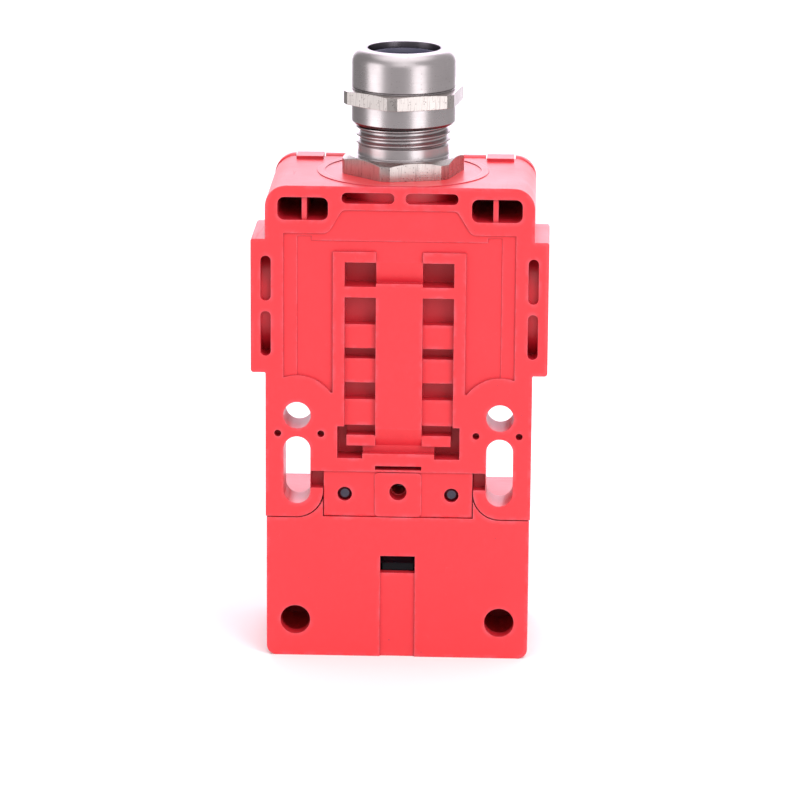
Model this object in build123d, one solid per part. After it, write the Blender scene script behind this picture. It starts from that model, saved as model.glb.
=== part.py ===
from build123d import *
import math
import os

os.makedirs("parts", exist_ok=True)

# A tongue interlock switch that stands on the end face of its head, with the cable gland up.
# X runs across the mounting face, Y from the mounting face to the lid, Z from head to gland.
# All sizes are in millimetres and z 0 is the end face of the head.

# Overall sizes
overall_depth = 33.0
case_width = 52.6
case_top_z = 95.6
case_corner_radius = 4.2
shoulder_z = 58.0
waist_width = 32.0
waist_bottom_z = 38.2
lid_thickness = 3.0
seam_gap = 0.2
lid_rise = 0.35
lid_edge_radius = 1.2

# Walls and inner space of the case
back_wall = 6.5
side_wall = 3.0
waist_wall = 2.7
shoulder_wall = 2.7
waist_floor = 2.8
top_block = 11.1
cavity_corner_radius = 1.5
cut_margin = 1.0

# Mounting ears
ear_inset = 0.1
ear_thickness = 8.0
ear_bottom_z = 28.8
ear_overlap = 1.15
ear_corner_radius = 5.3
ear_root_radius = 1.0
hole_spacing = 40.0
hole_radius = 2.7
hole_z = 49.5
slot_width = 5.3
slot_low_z = 31.5
slot_high_z = 45.2
pin_hole_radius = 0.675
pin_hole_z = 45.8
pin_hole_offset_in = 4.7
pin_hole_offset_out = 3.8
pin_hole_depth = 2.5
notch_width = 2.4
notch_low_z = 34.75
notch_depth = 3.0

# Side cable entries
boss_reach = 2.85
boss_z = 71.55
boss_radius = 13.4
boss_root = 0.4
boss_edge_radius = 0.6
entry_radius = 10.1
entry_web = 1.2
entry_ring_wall = 5.0
side_slot_width = 2.0
side_slot_length = 9.0
side_slot_gap = 2.1
side_slot_offset = 0.66

# Recessed field on the mounting face
field_half_width = 22.7
field_top_z = 86.2
field_low_z = 54.2
field_depth = 0.4
field_land_radius = 8.1
tab_top_half = 11.2
tab_base_half = 14.0
tab_top_z = 90.9
tab_root_radius = 1.8
tab_tip_radius = 1.2
step_half_width = 20.0
step_top_z = 84.7
step_horn_width = 2.8
step_horn_height = 0.9
step_depth = 0.2

# Ladder of core pockets in the middle of the mounting face
ladder_half_width = 13.0
ladder_top_z = 82.6
column_inner_x = 4.58
column_outer_x = 10.7
bar_low_z = 73.5
bar_high_z = 75.65
window_top_z = 80.5
window_depth = 5.4
rung_depth = 1.0
gap_depth = 4.0
rung_bottoms = (63.1, 56.15, 47.5)
rung_tops = (67.9, 61.0, 52.75)
ladder_low_z = 43.25
lowest_rung_top_z = 45.45
ramp_low_z = 76.3
ramp_depth = 1.6
foot_pocket_inner_x = 10.3
foot_pocket_outer_x = 12.05
foot_pocket_top_z = 47.4
foot_pocket_low_z = 40.9
foot_leg_inner_x = 7.1
foot_pocket_depth = 5.0
foot_shelf_z = 41.9
foot_shelf_depth = 1.8
rib_slope_top_z = 47.0
neck_slot_low_z = 38.6
neck_slot_high_z = 39.4
neck_slot_depth = 3.0

# Core pockets near the top edge
corner_pocket_inner_x = 14.0
corner_pocket_outer_x = 23.85
corner_pocket_low_z = 88.8
corner_pocket_high_z = 93.35
corner_pocket_radius = 1.35
corner_pocket_depth = 20.0
divider_x = 18.65
divider_thickness = 1.0
divider_recess = 0.6
top_slot_inner_x = 1.1
top_slot_outer_x = 11.35
top_slot_low_z = 92.2
top_slot_high_z = 94.35
top_slot_end_share = 0.45
top_slot_reach = 14.0
top_slot_wall = 5.05
top_ring_inner = 15.5
top_ring_width = 1.5
top_ring_rise = 0.15
top_ring_inset = 0.3

# Tongue panel of the case, which lies in a recess of the head
panel_low_z = 29.0
panel_sink = 0.4
panel_thickness = 3.6
panel_gap = 0.15
pad_half_width = 4.62
pad_top_z = 38.0
pad_rise = 0.25
pad_corner_radius = 0.8
panel_hole_x = 10.55
panel_hole_z = 33.5
panel_hole_radius = 1.425
centre_hole_z = 34.1
centre_hole_radius = 1.7
centre_hole_step = 0.2

# Head and faceplate
head_inset = 0.3
head_top_gap = 0.25
head_corner_radius = 2.0
faceplate_thickness = 2.2
faceplate_edge_radius = 0.8
head_back_wall = 2.3
head_end_wall = 3.0
head_roof_z = 27.0
tongue_space_half = 8.6
tongue_slot_half = 8.0
tongue_slot_thickness = 4.8
tongue_slot_margin = 0.3
window_half_width = 3.45
window_low_z = 17.3
window_high_z = 20.9
channel_depth = 0.4
bore_x = 20.3
bore_z = 7.4
bore_radius = 2.95
bore_wall = 3.0
bore_chamber_radius = 4.3
bore_chamber_depth = 15.0
faceplate_screw_top_z = 22.5
faceplate_screw_radius = 1.5
faceplate_screw_length = 10.0
screw_tail_gap = 0.5
screw_head_radius = 2.8
head_screw_radius = 1.35
head_screw_tip_sink = 0.5
head_screw_seat_depth = 6.8
head_screw_head_height = 2.4

# Cam wheel, its axle and the plunger that it lifts
cam_z = 15.0
cam_radius = 11.2
cam_rim_gap = 0.5
cam_disc_half = 3.1
cam_flank_half = 6.2
cam_hub_radius = 4.0
cam_side_gap = 0.4
cam_notch_width = 3.6
cam_notch_depth = 4.6
cam_notch_margin = 0.5
cam_notch_angles = (216.0, 306.0)
spiral_lead_deg = 20.0
spiral_run_deg = 15.0
spiral_points = 9
cam_turn_deg = 55.0
plunger_lift = 3.0
follower_radius = 1.5
follower_centre = 9.3
follower_gap = 0.3
axle_radius = 2.0
axle_end_seat = 3.4
axle_end_gap = 0.2
running_gap = 0.05
close_gap = 0.1
seat_gap = 0.2
loose_gap = 0.3
plunger_radius = 3.0
fork_inner_x = 3.6
fork_outer_x = 5.9
fork_bar_low_z = 27.2
fork_bar_height = 1.8
fork_half_depth = 2.4
fork_space = 0.4
spring_wire = 0.7
spring_turns = 4
spring_gap = 0.35
guide_flange_height = 2.2
guide_flange_radius = 5.6
guide_radius = 4.5
guide_rise = 1.0

# Contact block and what it holds
block_side_gap = 0.3
block_low_z = 49.5
pole_pitch = 9.0
pole_count = 3
block_rib = 1.0
block_base = 7.5
block_rib_height = 7.4
block_tab_reach = 4.6
block_tab_z = 66.0
block_tab_height = 8.0
block_tab_thickness = 3.0
block_tab_radius = 1.0
block_screw_radius = 1.25
block_screw_head_radius = 2.1
block_screw_head_height = 1.5
block_screw_bite = 3.2
carrier_half_width = 2.6
carrier_space = 0.3
carrier_low_z = 46.5
carrier_front_depth = 7.0
carrier_back_depth = 3.0
carrier_front_strip = 1.3
cover_thickness = 1.5
cover_margin = 0.1
cover_radius = 0.8
bridge_end_inset = 0.5
bridge_height = 0.8
bridge_width = 4.0
tip_radius = 1.2
tip_height = 0.5
closed_gap = 0.05
open_gap = 3.2
strip_thickness = 0.8
flange_inner_x = 4.4
flange_gap = 0.5
flange_rise = 2.4
flange_drop = 3.3
terminal_inset = 2.9
clamp_size = 5.0
clamp_thickness = 1.2
terminal_screw_radius = 1.6
terminal_screw_head_radius = 2.4
terminal_screw_head_height = 1.9
terminal_screw_bite = 5.0
bridge_spring_wire = 0.3
bridge_spring_radius = 1.2
bridge_spring_turns = 3
bridge_spring_space = 2.0

# Lid, hinge and captive screws
lug_inner_x = 16.4
lug_width = 5.4
lug_side_gap = 0.3
lug_rise = 0.25
lug_root = 3.0
lug_under_gap = 0.45
pin_radius = 0.75
pin_overhang = 1.5
lid_screw_inset = 3.3
lid_screw_z = 44.5
lid_screw_radius = 1.5
lid_screw_point_radius = 0.9
lid_screw_point_length = 2.6
lid_screw_head_radius = 2.6
lid_screw_head_height = 1.5
lid_boss_radius = 2.6
lid_boss_height = 3.4
lid_rib_thickness = 1.4
lid_rib_height = 1.8
lid_rib_margin = 4.0
lid_rib_foot = 12.0
lid_rib_shares = (0.3, 0.7)
post_radius = 3.4
post_gap = 0.6
post_hole_radius = 1.6
post_hole_depth = 6.0
gasket_width = 1.4
gasket_inset = 0.7
gasket_depth = 1.0

# Cable gland
gland_thread_radius = 9.95
gland_thread_bite = 10.6
gland_ring_radius = 10.6
gland_undercut_radius = 9.0
gland_ring_height = 1.4
hex_flats = 22.0
hex_corner_radius = 12.15
hex_face_radius = 10.8
hex_chamfer_deg = 30.0
lower_hex_height = 3.6
lower_hex_turn = -15.3
neck_radius = 9.0
neck_height = 2.2
upper_thread_radius = 9.3
upper_thread_height = 8.2
gland_bore_radius = 6.6
seal_seat_radius = 7.2
seal_seat_depth = 6.0
nut_skirt_radius = 10.3
thread_shown = 4.0
nut_chamfer = 0.4
nut_skirt_height = 4.1
upper_hex_height = 2.9
upper_hex_turn = -8.8
dome_radius = 10.25
dome_shoulder_radius = 2.8
nut_bore_radius = 9.85
nut_opening_radius = 7.15
nut_lip = 3.0
nut_inner_radius = 9.1
slip_ring_thickness = 0.7
slip_ring_gap = 0.15
claw_height = 6.9
claw_wall = 1.5
claw_root = 1.2
claw_slots = 8
claw_slot_width = 1.0
seal_bore_radius = 5.0
seal_gap = 0.1
seal_rise = 1.2

# Places worked out from the sizes above
back_y = -overall_depth / 2
front_y = overall_depth / 2
lid_back_y = front_y - lid_thickness
rim_y = lid_back_y - seam_gap
floor_y = back_y + back_wall
case_half = case_width / 2
ear_half = case_half - ear_inset
waist_half = waist_width / 2
head_half = case_half - head_inset
hole_x = hole_spacing / 2
cavity_half = case_half - side_wall
waist_cavity_half = waist_half - waist_wall
ear_inner_x = waist_half - ear_overlap
panel_half_width = ear_inner_x - panel_gap
block_half_width = waist_cavity_half - block_side_gap
terminal_x = block_half_width - terminal_inset
flange_outer_x = terminal_x - clamp_size / 2 - flange_gap
bridge_half_length = flange_outer_x - bridge_end_inset
cover_half_width = flange_outer_x + cover_margin
lid_screw_x = waist_cavity_half - lid_screw_inset
cavity_top_z = case_top_z - top_block
cavity_low_z = waist_bottom_z + waist_floor
cavity_shoulder_z = shoulder_z + shoulder_wall
boss_half = case_half + boss_reach
head_top_z = ear_bottom_z - head_top_gap
plate_back_y = front_y - faceplate_thickness
cam_y = back_y + head_back_wall + cam_rim_gap + cam_radius
panel_front_y = back_y + panel_sink
panel_back_y = panel_front_y + panel_thickness
hinge_y = front_y - lid_thickness / 2
lid_top_z = case_top_z + lid_rise
hinge_z = lid_top_z - lid_thickness / 2
hinge_radius = lid_thickness / 2
lower_hex_top_z = case_top_z + lower_hex_height
neck_top_z = lower_hex_top_z + neck_height
thread_top_z = neck_top_z + upper_thread_height
nut_low_z = neck_top_z + thread_shown
slip_ring_low_z = thread_top_z + claw_height
nut_lip_z = slip_ring_low_z + slip_ring_thickness
nut_top_z = nut_lip_z + nut_lip


def box(x0, x1, y0, y1, z0, z1):
    centre = Pos((x0 + x1) / 2, (y0 + y1) / 2, (z0 + z1) / 2)
    return centre * Box(x1 - x0, y1 - y0, z1 - z0)


def rod_x(y, z, x0, x1, radius):
    return Pos((x0 + x1) / 2, y, z) * Rot(0, 90, 0) * Cylinder(radius, x1 - x0)


def rod_y(x, z, y0, y1, radius):
    return Pos(x, (y0 + y1) / 2, z) * Rot(90, 0, 0) * Cylinder(radius, y1 - y0)


def rod_z(x, y, z0, z1, radius):
    return Pos(x, y, (z0 + z1) / 2) * Cylinder(radius, z1 - z0)


def patch(x0, x1, z0, z1):
    """A rectangle drawn in x and z."""
    return Pos((x0 + x1) / 2, (z0 + z1) / 2) * Rectangle(x1 - x0, z1 - z0)


def rounded_patch(x0, x1, z0, z1, radius):
    return Pos((x0 + x1) / 2, (z0 + z1) / 2) * RectangleRounded(x1 - x0, z1 - z0, radius)


def slab(outline, y0, y1):
    """An outline in x and z, pulled from y0 to y1."""
    plane = Plane(origin=(0, y0, 0), x_dir=(1, 0, 0), z_dir=(0, -1, 0))
    return extrude(plane * outline, amount=-(y1 - y0))


def beam(outline, x0, x1):
    """An outline in y and z, pulled from x0 to x1."""
    plane = Plane(origin=(x0, 0, 0), x_dir=(0, 1, 0), z_dir=(1, 0, 0))
    return extrude(plane * outline, amount=x1 - x0)


def tower(outline, z0, z1):
    """An outline in x and y, pulled from z0 to z1."""
    return extrude(Plane.XY.offset(z0) * outline, amount=z1 - z0)


def both(shape):
    """The shape and its mirror image on the other side of the middle plane."""
    return shape + mirror(shape, about=Plane.YZ)


def corners_at(outline, points):
    """The corners of an outline that lie at the given points or their mirror images."""
    found = []
    for corner in outline.vertices():
        for px, pz in points:
            if abs(abs(corner.X) - px) < 0.01 and abs(corner.Y - pz) < 0.01:
                found.append(corner)
    return found


def case_outline(top_z):
    upper = patch(-case_half, case_half, shoulder_z, top_z)
    upper = fillet(corners_at(upper, [(case_half, top_z)]), case_corner_radius)
    return upper + patch(-waist_half, waist_half, waist_bottom_z, shoulder_z)


def cavity_outline():
    upper = patch(-cavity_half, cavity_half, cavity_shoulder_z, cavity_top_z)
    shape = upper + patch(-waist_cavity_half, waist_cavity_half, cavity_low_z, cavity_shoulder_z)
    corner_points = [
        (cavity_half, cavity_top_z),
        (cavity_half, cavity_shoulder_z),
        (waist_cavity_half, cavity_shoulder_z),
        (waist_cavity_half, cavity_low_z),
    ]
    return fillet(corners_at(shape, corner_points), cavity_corner_radius)


def ear_outline(grow):
    """One ear seen from the mounting face, with its rounded inner lower corner."""
    shape = patch(ear_inner_x - grow, ear_half, ear_bottom_z - grow, shoulder_z)
    corner = corners_at(shape, [(ear_inner_x - grow, ear_bottom_z - grow)])
    return fillet(corner, ear_corner_radius + grow)


def ear_section():
    """Waist and ears seen from above, with a hollow curve at the root of each ear."""
    waist = patch(-waist_half, waist_half, back_y, rim_y)
    ears = patch(-ear_half, ear_half, back_y, back_y + ear_thickness)
    shape = waist + ears
    root = corners_at(shape, [(waist_half, back_y + ear_thickness)])
    return fillet(root, ear_root_radius)


def case_solid():
    upper = slab(case_outline(case_top_z), back_y, rim_y)
    ears = slab(both(ear_outline(0)), back_y, back_y + ear_thickness)
    lower = ears + tower(ear_section(), waist_bottom_z, shoulder_z)
    end = Pos(0, boss_z) * Circle(boss_radius)
    boss = end + patch(back_y, 0, boss_z - boss_radius, boss_z + boss_radius)
    boss = beam(boss, case_half - boss_root, boss_half)
    bosses = both(fillet(boss.faces().sort_by(Axis.X)[-1].edges(), boss_edge_radius))
    panel = box(-panel_half_width, panel_half_width, panel_front_y, panel_back_y,
                panel_low_z, waist_bottom_z)
    pad = rounded_patch(-pad_half_width, pad_half_width, panel_low_z, pad_top_z, pad_corner_radius)
    pad_back_y = panel_front_y + panel_thickness / 2
    return upper + lower + bosses + panel + slab(pad, panel_front_y - pad_rise, pad_back_y)


def field_cuts():
    """The shallow field and the finer step inside it, clear of the raised ladder."""
    lands = both(Pos(hole_x, hole_z) * Circle(field_land_radius))
    ladder = patch(-ladder_half_width, ladder_half_width, cavity_low_z, ladder_top_z)
    ladder -= patch(-column_inner_x, column_inner_x, window_top_z, ladder_top_z)
    wide = patch(-field_half_width, field_half_width, field_low_z, field_top_z)
    tab = make_face(Polyline(
        (-tab_base_half, field_top_z), (-tab_top_half, tab_top_z),
        (tab_top_half, tab_top_z), (tab_base_half, field_top_z), close=True))
    field = wide + tab
    field = fillet(corners_at(field, [(tab_base_half, field_top_z)]), tab_root_radius)
    field = fillet(corners_at(field, [(tab_top_half, tab_top_z)]), tab_tip_radius)
    step = patch(-step_half_width, step_half_width, field_low_z, step_top_z)
    horn = patch(step_half_width - step_horn_width, step_half_width,
                 step_top_z, step_top_z + step_horn_height)
    step = step + both(horn)
    shallow = slab(field - lands - ladder, back_y, back_y + field_depth)
    return shallow + slab(step - lands - ladder, back_y, back_y + field_depth + step_depth)


def ladder_cuts():
    """Windows, rungs and gaps of the two core columns, and the ramp between the windows."""
    columns = patch(column_inner_x, column_outer_x, ladder_low_z, bar_low_z)
    cuts = slab(columns, back_y, back_y + rung_depth)
    window = patch(column_inner_x, column_outer_x, bar_high_z, window_top_z)
    cuts += slab(window, back_y, back_y + window_depth)
    gap_tops = (bar_low_z,) + rung_bottoms
    gap_bottoms = rung_tops + (lowest_rung_top_z,)
    for low, high in zip(gap_bottoms, gap_tops):
        gap = patch(column_inner_x, column_outer_x, low, high)
        cuts += slab(gap, back_y, back_y + gap_depth)
    foot = patch(foot_pocket_inner_x, foot_pocket_outer_x, foot_pocket_low_z, foot_pocket_top_z)
    leg = patch(foot_leg_inner_x, foot_pocket_outer_x, foot_pocket_low_z, ladder_low_z)
    cuts += slab(foot + leg, back_y, back_y + foot_pocket_depth)
    cuts = both(cuts)
    shelf = patch(-foot_leg_inner_x, foot_leg_inner_x, foot_shelf_z, ladder_low_z)
    cuts += slab(shelf, back_y, back_y + foot_shelf_depth)
    ramp = make_face(Polyline(
        (back_y, window_top_z), (back_y + field_depth + step_depth, window_top_z),
        (back_y + ramp_depth, ramp_low_z), (back_y, ramp_low_z), close=True))
    cuts += beam(ramp, -column_inner_x, column_inner_x)
    slope = make_face(Polyline(
        (back_y, rib_slope_top_z), (back_y + foot_shelf_depth, ladder_low_z),
        (back_y, ladder_low_z), close=True))
    cuts += beam(slope, -column_inner_x, column_inner_x)
    neck_slot = patch(-column_inner_x, column_inner_x, neck_slot_low_z, neck_slot_high_z)
    return cuts + slab(neck_slot, back_y, back_y + neck_slot_depth)


def top_cuts():
    """Corner pockets with their dividers, and slots that stop at the gland's thread wall."""
    pocket = slab(rounded_patch(corner_pocket_inner_x, corner_pocket_outer_x, corner_pocket_low_z,
                                corner_pocket_high_z, corner_pocket_radius),
                  back_y, back_y + corner_pocket_depth)
    divider = box(divider_x - divider_thickness / 2, divider_x + divider_thickness / 2,
                  back_y + divider_recess, back_y + corner_pocket_depth,
                  corner_pocket_low_z, corner_pocket_high_z)
    slot_height = top_slot_high_z - top_slot_low_z
    slot = slab(rounded_patch(top_slot_inner_x, top_slot_outer_x, top_slot_low_z, top_slot_high_z,
                              slot_height * top_slot_end_share), back_y, back_y + top_slot_reach)
    wall = rod_z(0, 0, top_slot_low_z - cut_margin, top_slot_high_z + cut_margin,
                 gland_thread_radius + top_slot_wall)
    return both((pocket - divider) + (slot - wall))


def top_ring():
    """A low raised ring on the top face round the gland."""
    top_ring_outer = top_ring_inner + top_ring_width
    ring = tower(Circle(top_ring_outer) - Circle(top_ring_inner),
                 case_top_z - top_ring_rise, case_top_z + top_ring_rise)
    return ring & box(-top_ring_outer, top_ring_outer, back_y + top_ring_inset,
                      rim_y - top_ring_inset, case_top_z - top_ring_rise,
                      case_top_z + top_ring_rise)


def side_cuts():
    """Threaded side entries closed by a thin web, and the slots round their thread wall."""
    entry = rod_x(0, boss_z, cavity_half + entry_web, boss_half, entry_radius)
    slot_x = (cavity_half + entry_web + boss_half) / 2 - side_slot_offset
    slot = SlotOverall(side_slot_length, side_slot_width, rotation=90)
    rise = (side_slot_gap + side_slot_length) / 2
    outline = Pos(slot_x, boss_z + rise) * slot + Pos(slot_x, boss_z - rise) * slot
    wall = rod_x(0, boss_z, cavity_half, boss_half + cut_margin, entry_radius + entry_ring_wall)
    return both(entry + (slab(outline, back_y, 0) - wall))


def ear_cuts():
    """Mounting holes, mounting slots, small pin holes and the notch beside the head's neck."""
    ear_front_y = back_y + ear_thickness
    cuts = rod_y(hole_x, hole_z, back_y, ear_front_y, hole_radius)
    slot = Pos(hole_x, (slot_low_z + slot_high_z) / 2) * SlotOverall(
        slot_high_z - slot_low_z, slot_width, rotation=90)
    cuts += slab(slot, back_y, ear_front_y)
    for pin_x in (hole_x - pin_hole_offset_in, hole_x + pin_hole_offset_out):
        cuts += rod_y(pin_x, pin_hole_z, back_y, back_y + pin_hole_depth, pin_hole_radius)
    cuts += box(ear_inner_x, ear_inner_x + notch_width, back_y, back_y + notch_depth,
                notch_low_z, waist_bottom_z)
    return both(cuts)


def panel_cuts():
    cuts = rod_y(panel_hole_x, panel_hole_z, back_y, panel_back_y, panel_hole_radius)
    cuts += mirror(cuts, about=Plane.YZ)
    return cuts + rod_y(0, centre_hole_z, back_y, panel_back_y, centre_hole_radius)


def rear_housing():
    shape = case_solid() - slab(cavity_outline(), floor_y, rim_y)
    post_top_y = lid_back_y - lid_boss_height - post_gap
    post = rod_y(lid_screw_x, lid_screw_z, floor_y - cut_margin, post_top_y, post_radius)
    shape += both(post)
    hole = rod_y(lid_screw_x, lid_screw_z, post_top_y - post_hole_depth, post_top_y,
                 post_hole_radius)
    shape -= both(hole)
    shape = shape - field_cuts() - ladder_cuts() - top_cuts() - side_cuts()
    shape = shape - ear_cuts() - panel_cuts()
    shape -= rod_z(0, 0, cavity_top_z, case_top_z, gland_thread_radius + running_gap)
    shape -= rod_z(0, 0, case_top_z - gland_ring_height, case_top_z, gland_ring_radius)
    shape -= rod_z(0, cam_y, waist_bottom_z, cavity_low_z, guide_radius + running_gap)
    tab_x = block_half_width + block_tab_reach / 2
    bite = rod_y(tab_x, block_tab_z, floor_y - block_screw_bite, floor_y, block_screw_radius)
    shape -= both(bite)
    shape -= gasket_ring(rim_y - gasket_depth, rim_y)
    return shape + hinge_lugs() + top_ring()


def hinge_lugs():
    """Two lugs that reach forward over the lid's top edge and hold the hinge pins."""
    nose = Pos(hinge_y, hinge_z) * Circle(hinge_radius)
    root = patch(rim_y - lug_root, hinge_y, hinge_z - hinge_radius, lid_top_z + lug_rise)
    lug = beam(nose + root, lug_inner_x, lug_inner_x + lug_width)
    lug -= rod_x(hinge_y, hinge_z, lug_inner_x, lug_inner_x + lug_width, pin_radius)
    return both(lug)


def gasket_ring(y0, y1):
    inner = offset(cavity_outline(), gasket_inset)
    outer = offset(cavity_outline(), gasket_inset + gasket_width)
    return slab(outer - inner, y0, y1)


def lid_gasket():
    return gasket_ring(rim_y - gasket_depth, lid_back_y)


def hinge_pins():
    pin = rod_x(hinge_y, hinge_z, lug_inner_x - pin_overhang,
                lug_inner_x + lug_width + pin_overhang, pin_radius)
    return both(pin)


def lid():
    """A flat cover with a full round top edge that turns about the hinge pins."""
    shape = slab(case_outline(lid_top_z), lid_back_y, front_y)
    front_edges = shape.faces().sort_by(Axis.Y)[-1].edges()
    shape = fillet(front_edges, lid_edge_radius)
    behind = box(-case_half, case_half, lid_back_y, hinge_y, hinge_z, lid_top_z + cut_margin)
    shape -= behind - rod_x(hinge_y, hinge_z, -case_half, case_half, hinge_radius)
    lug_space = box(lug_inner_x - lug_side_gap, lug_inner_x + lug_width + lug_side_gap,
                    lid_back_y, front_y, hinge_z - hinge_radius - lug_under_gap,
                    lid_top_z + cut_margin)
    pin_hole = rod_x(hinge_y, hinge_z, lug_inner_x - pin_overhang - lug_side_gap,
                     lug_inner_x + lug_width + pin_overhang + lug_side_gap,
                     pin_radius + running_gap)
    shape -= both(lug_space + pin_hole)
    boss = rod_y(lid_screw_x, lid_screw_z, lid_back_y - lid_boss_height, lid_back_y,
                 lid_boss_radius)
    ribs = rib_box(0, cavity_low_z + lid_rib_foot, cavity_top_z - lid_rib_margin)
    for share in lid_rib_shares:
        rib_z = cavity_shoulder_z + share * (cavity_top_z - cavity_shoulder_z)
        ribs += box(-cavity_half + lid_rib_margin, cavity_half - lid_rib_margin,
                    lid_back_y - lid_rib_height, lid_back_y,
                    rib_z - lid_rib_thickness / 2, rib_z + lid_rib_thickness / 2)
    shape += both(boss) + ribs
    well = rod_y(lid_screw_x, lid_screw_z, front_y - lid_screw_head_height - seat_gap,
                 front_y, lid_screw_head_radius + seat_gap)
    bore = rod_y(lid_screw_x, lid_screw_z, lid_back_y - lid_boss_height, front_y,
                 lid_screw_radius + running_gap)
    return shape - both(well + bore)


def rib_box(x, z0, z1):
    return box(x - lid_rib_thickness / 2, x + lid_rib_thickness / 2,
               lid_back_y - lid_rib_height, lid_back_y, z0, z1)


def lid_screws():
    """Captive screws whose thin points reach into the posts of the case."""
    head_y = front_y - seat_gap
    shank_y = lid_back_y - lid_boss_height - post_gap / 2
    head = rod_y(lid_screw_x, lid_screw_z, head_y - lid_screw_head_height, head_y,
                 lid_screw_head_radius)
    shank = rod_y(lid_screw_x, lid_screw_z, shank_y, head_y - lid_screw_head_height,
                  lid_screw_radius)
    point = rod_y(lid_screw_x, lid_screw_z, shank_y - lid_screw_point_length, shank_y,
                  lid_screw_point_radius)
    return both(head + shank + point)


def head_outline():
    shape = patch(-head_half, head_half, 0, head_top_z)
    return fillet(corners_at(shape, [(head_half, 0)]), head_corner_radius)


def head_neck():
    """The neck under the waist, with two horns that fill the round corners of the ears."""
    ear_front_y = back_y + ear_thickness
    horn_x = ear_inner_x + ear_corner_radius
    horn_z = ear_bottom_z + ear_corner_radius
    foot = patch(0, horn_x, head_top_z, horn_z)
    upper = patch(0, ear_inner_x - head_top_gap, horn_z, waist_bottom_z)
    near = both(foot + upper - ear_outline(head_top_gap))
    behind_y = ear_front_y + head_top_gap
    neck = slab(near, back_y, behind_y)
    neck += box(-waist_half, waist_half, behind_y, plate_back_y, head_top_z, waist_bottom_z)
    panel_space = box(-panel_half_width - panel_gap, panel_half_width + panel_gap, back_y,
                      panel_back_y, panel_low_z - panel_gap, waist_bottom_z)
    return neck - panel_space


def tongue_end_slot():
    slot_y = back_y + head_back_wall + tongue_slot_margin
    return box(-tongue_slot_half, tongue_slot_half, slot_y, slot_y + tongue_slot_thickness,
               0, head_end_wall)


def head_block():
    shape = slab(head_outline(), back_y, plate_back_y) + head_neck()
    inner_y = back_y + head_back_wall
    shape -= box(-tongue_space_half, tongue_space_half, inner_y, plate_back_y,
                 head_end_wall, head_roof_z)
    shape -= box(-window_half_width, window_half_width, back_y, inner_y,
                 window_low_z, window_high_z)
    shape -= box(-window_half_width, window_half_width, back_y, back_y + channel_depth,
                 0, window_low_z)
    shape -= tongue_end_slot()
    bore = rod_y(bore_x, bore_z, back_y, back_y + bore_wall, bore_radius)
    bore += rod_y(bore_x, bore_z, back_y + bore_wall, back_y + bore_wall + bore_chamber_depth,
                  bore_chamber_radius)
    for screw_z in (bore_z, faceplate_screw_top_z):
        bore += rod_y(bore_x, screw_z, plate_back_y - faceplate_screw_length, plate_back_y,
                      faceplate_screw_radius + running_gap)
    shape -= both(bore)
    seat_y = plate_back_y - head_screw_seat_depth
    hole = rod_y(panel_hole_x, panel_hole_z, panel_back_y, plate_back_y,
                 head_screw_radius + running_gap)
    hole += rod_y(panel_hole_x, panel_hole_z, seat_y, plate_back_y, screw_head_radius + seat_gap)
    shape -= both(hole)
    shape -= rod_y(0, centre_hole_z, panel_back_y, cam_y, centre_hole_radius - centre_hole_step)
    seat = Pos(cam_y, cam_z) * Circle(axle_radius + running_gap)
    seat += patch(cam_y, plate_back_y, cam_z - axle_radius - running_gap,
                  cam_z + axle_radius + running_gap)
    seat_x = tongue_space_half + axle_end_seat
    shape -= beam(seat, -seat_x, seat_x)
    fork_x = fork_outer_x + fork_space
    fork_y = max(fork_half_depth, plunger_radius + spring_gap + spring_wire) + fork_space
    guide_low_z = waist_bottom_z - guide_flange_height
    shape -= box(-fork_x, fork_x, cam_y - fork_y, cam_y + fork_y, head_roof_z, guide_low_z)
    return shape - rod_z(0, cam_y, guide_low_z, waist_bottom_z, guide_flange_radius + running_gap)


def head_faceplate():
    """The front plate with the second tongue slot, and two ribs that keep the axle in place."""
    shape = slab(head_outline(), plate_back_y, front_y)
    front_edges = shape.faces().sort_by(Axis.Y)[-1].edges()
    shape = fillet(front_edges, faceplate_edge_radius)
    slot_z = head_end_wall + tongue_slot_margin
    shape -= box(-tongue_slot_half, tongue_slot_half, plate_back_y, front_y,
                 slot_z, slot_z + tongue_slot_thickness)
    rib = box(tongue_space_half + loose_gap, tongue_space_half + axle_end_seat - axle_end_gap,
              cam_y + axle_radius + running_gap, plate_back_y,
              cam_z - axle_radius + close_gap, cam_z + axle_radius - close_gap)
    shape += both(rib)
    holes = faceplate_screw_solid(running_gap, bore_z)
    holes += faceplate_screw_solid(running_gap, faceplate_screw_top_z)
    return shape - both(holes)


def faceplate_screw_solid(grow, z):
    cone_height = screw_head_radius - faceplate_screw_radius
    cone = Cone(faceplate_screw_radius + grow, screw_head_radius + grow, cone_height)
    head = Pos(bore_x, front_y - cone_height / 2, z) * Rot(-90, 0, 0) * cone
    tail_y = plate_back_y - faceplate_screw_length + screw_tail_gap
    return head + rod_y(bore_x, z, tail_y, front_y - cone_height, faceplate_screw_radius + grow)


def faceplate_screws():
    pair = faceplate_screw_solid(0, bore_z) + faceplate_screw_solid(0, faceplate_screw_top_z)
    return both(pair)


def head_screws():
    seat_y = plate_back_y - head_screw_seat_depth
    shank = rod_y(panel_hole_x, panel_hole_z, panel_front_y + head_screw_tip_sink, seat_y,
                  head_screw_radius)
    head = rod_y(panel_hole_x, panel_hole_z, seat_y, seat_y + head_screw_head_height,
                 screw_head_radius)
    return both(shank + head)


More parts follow.
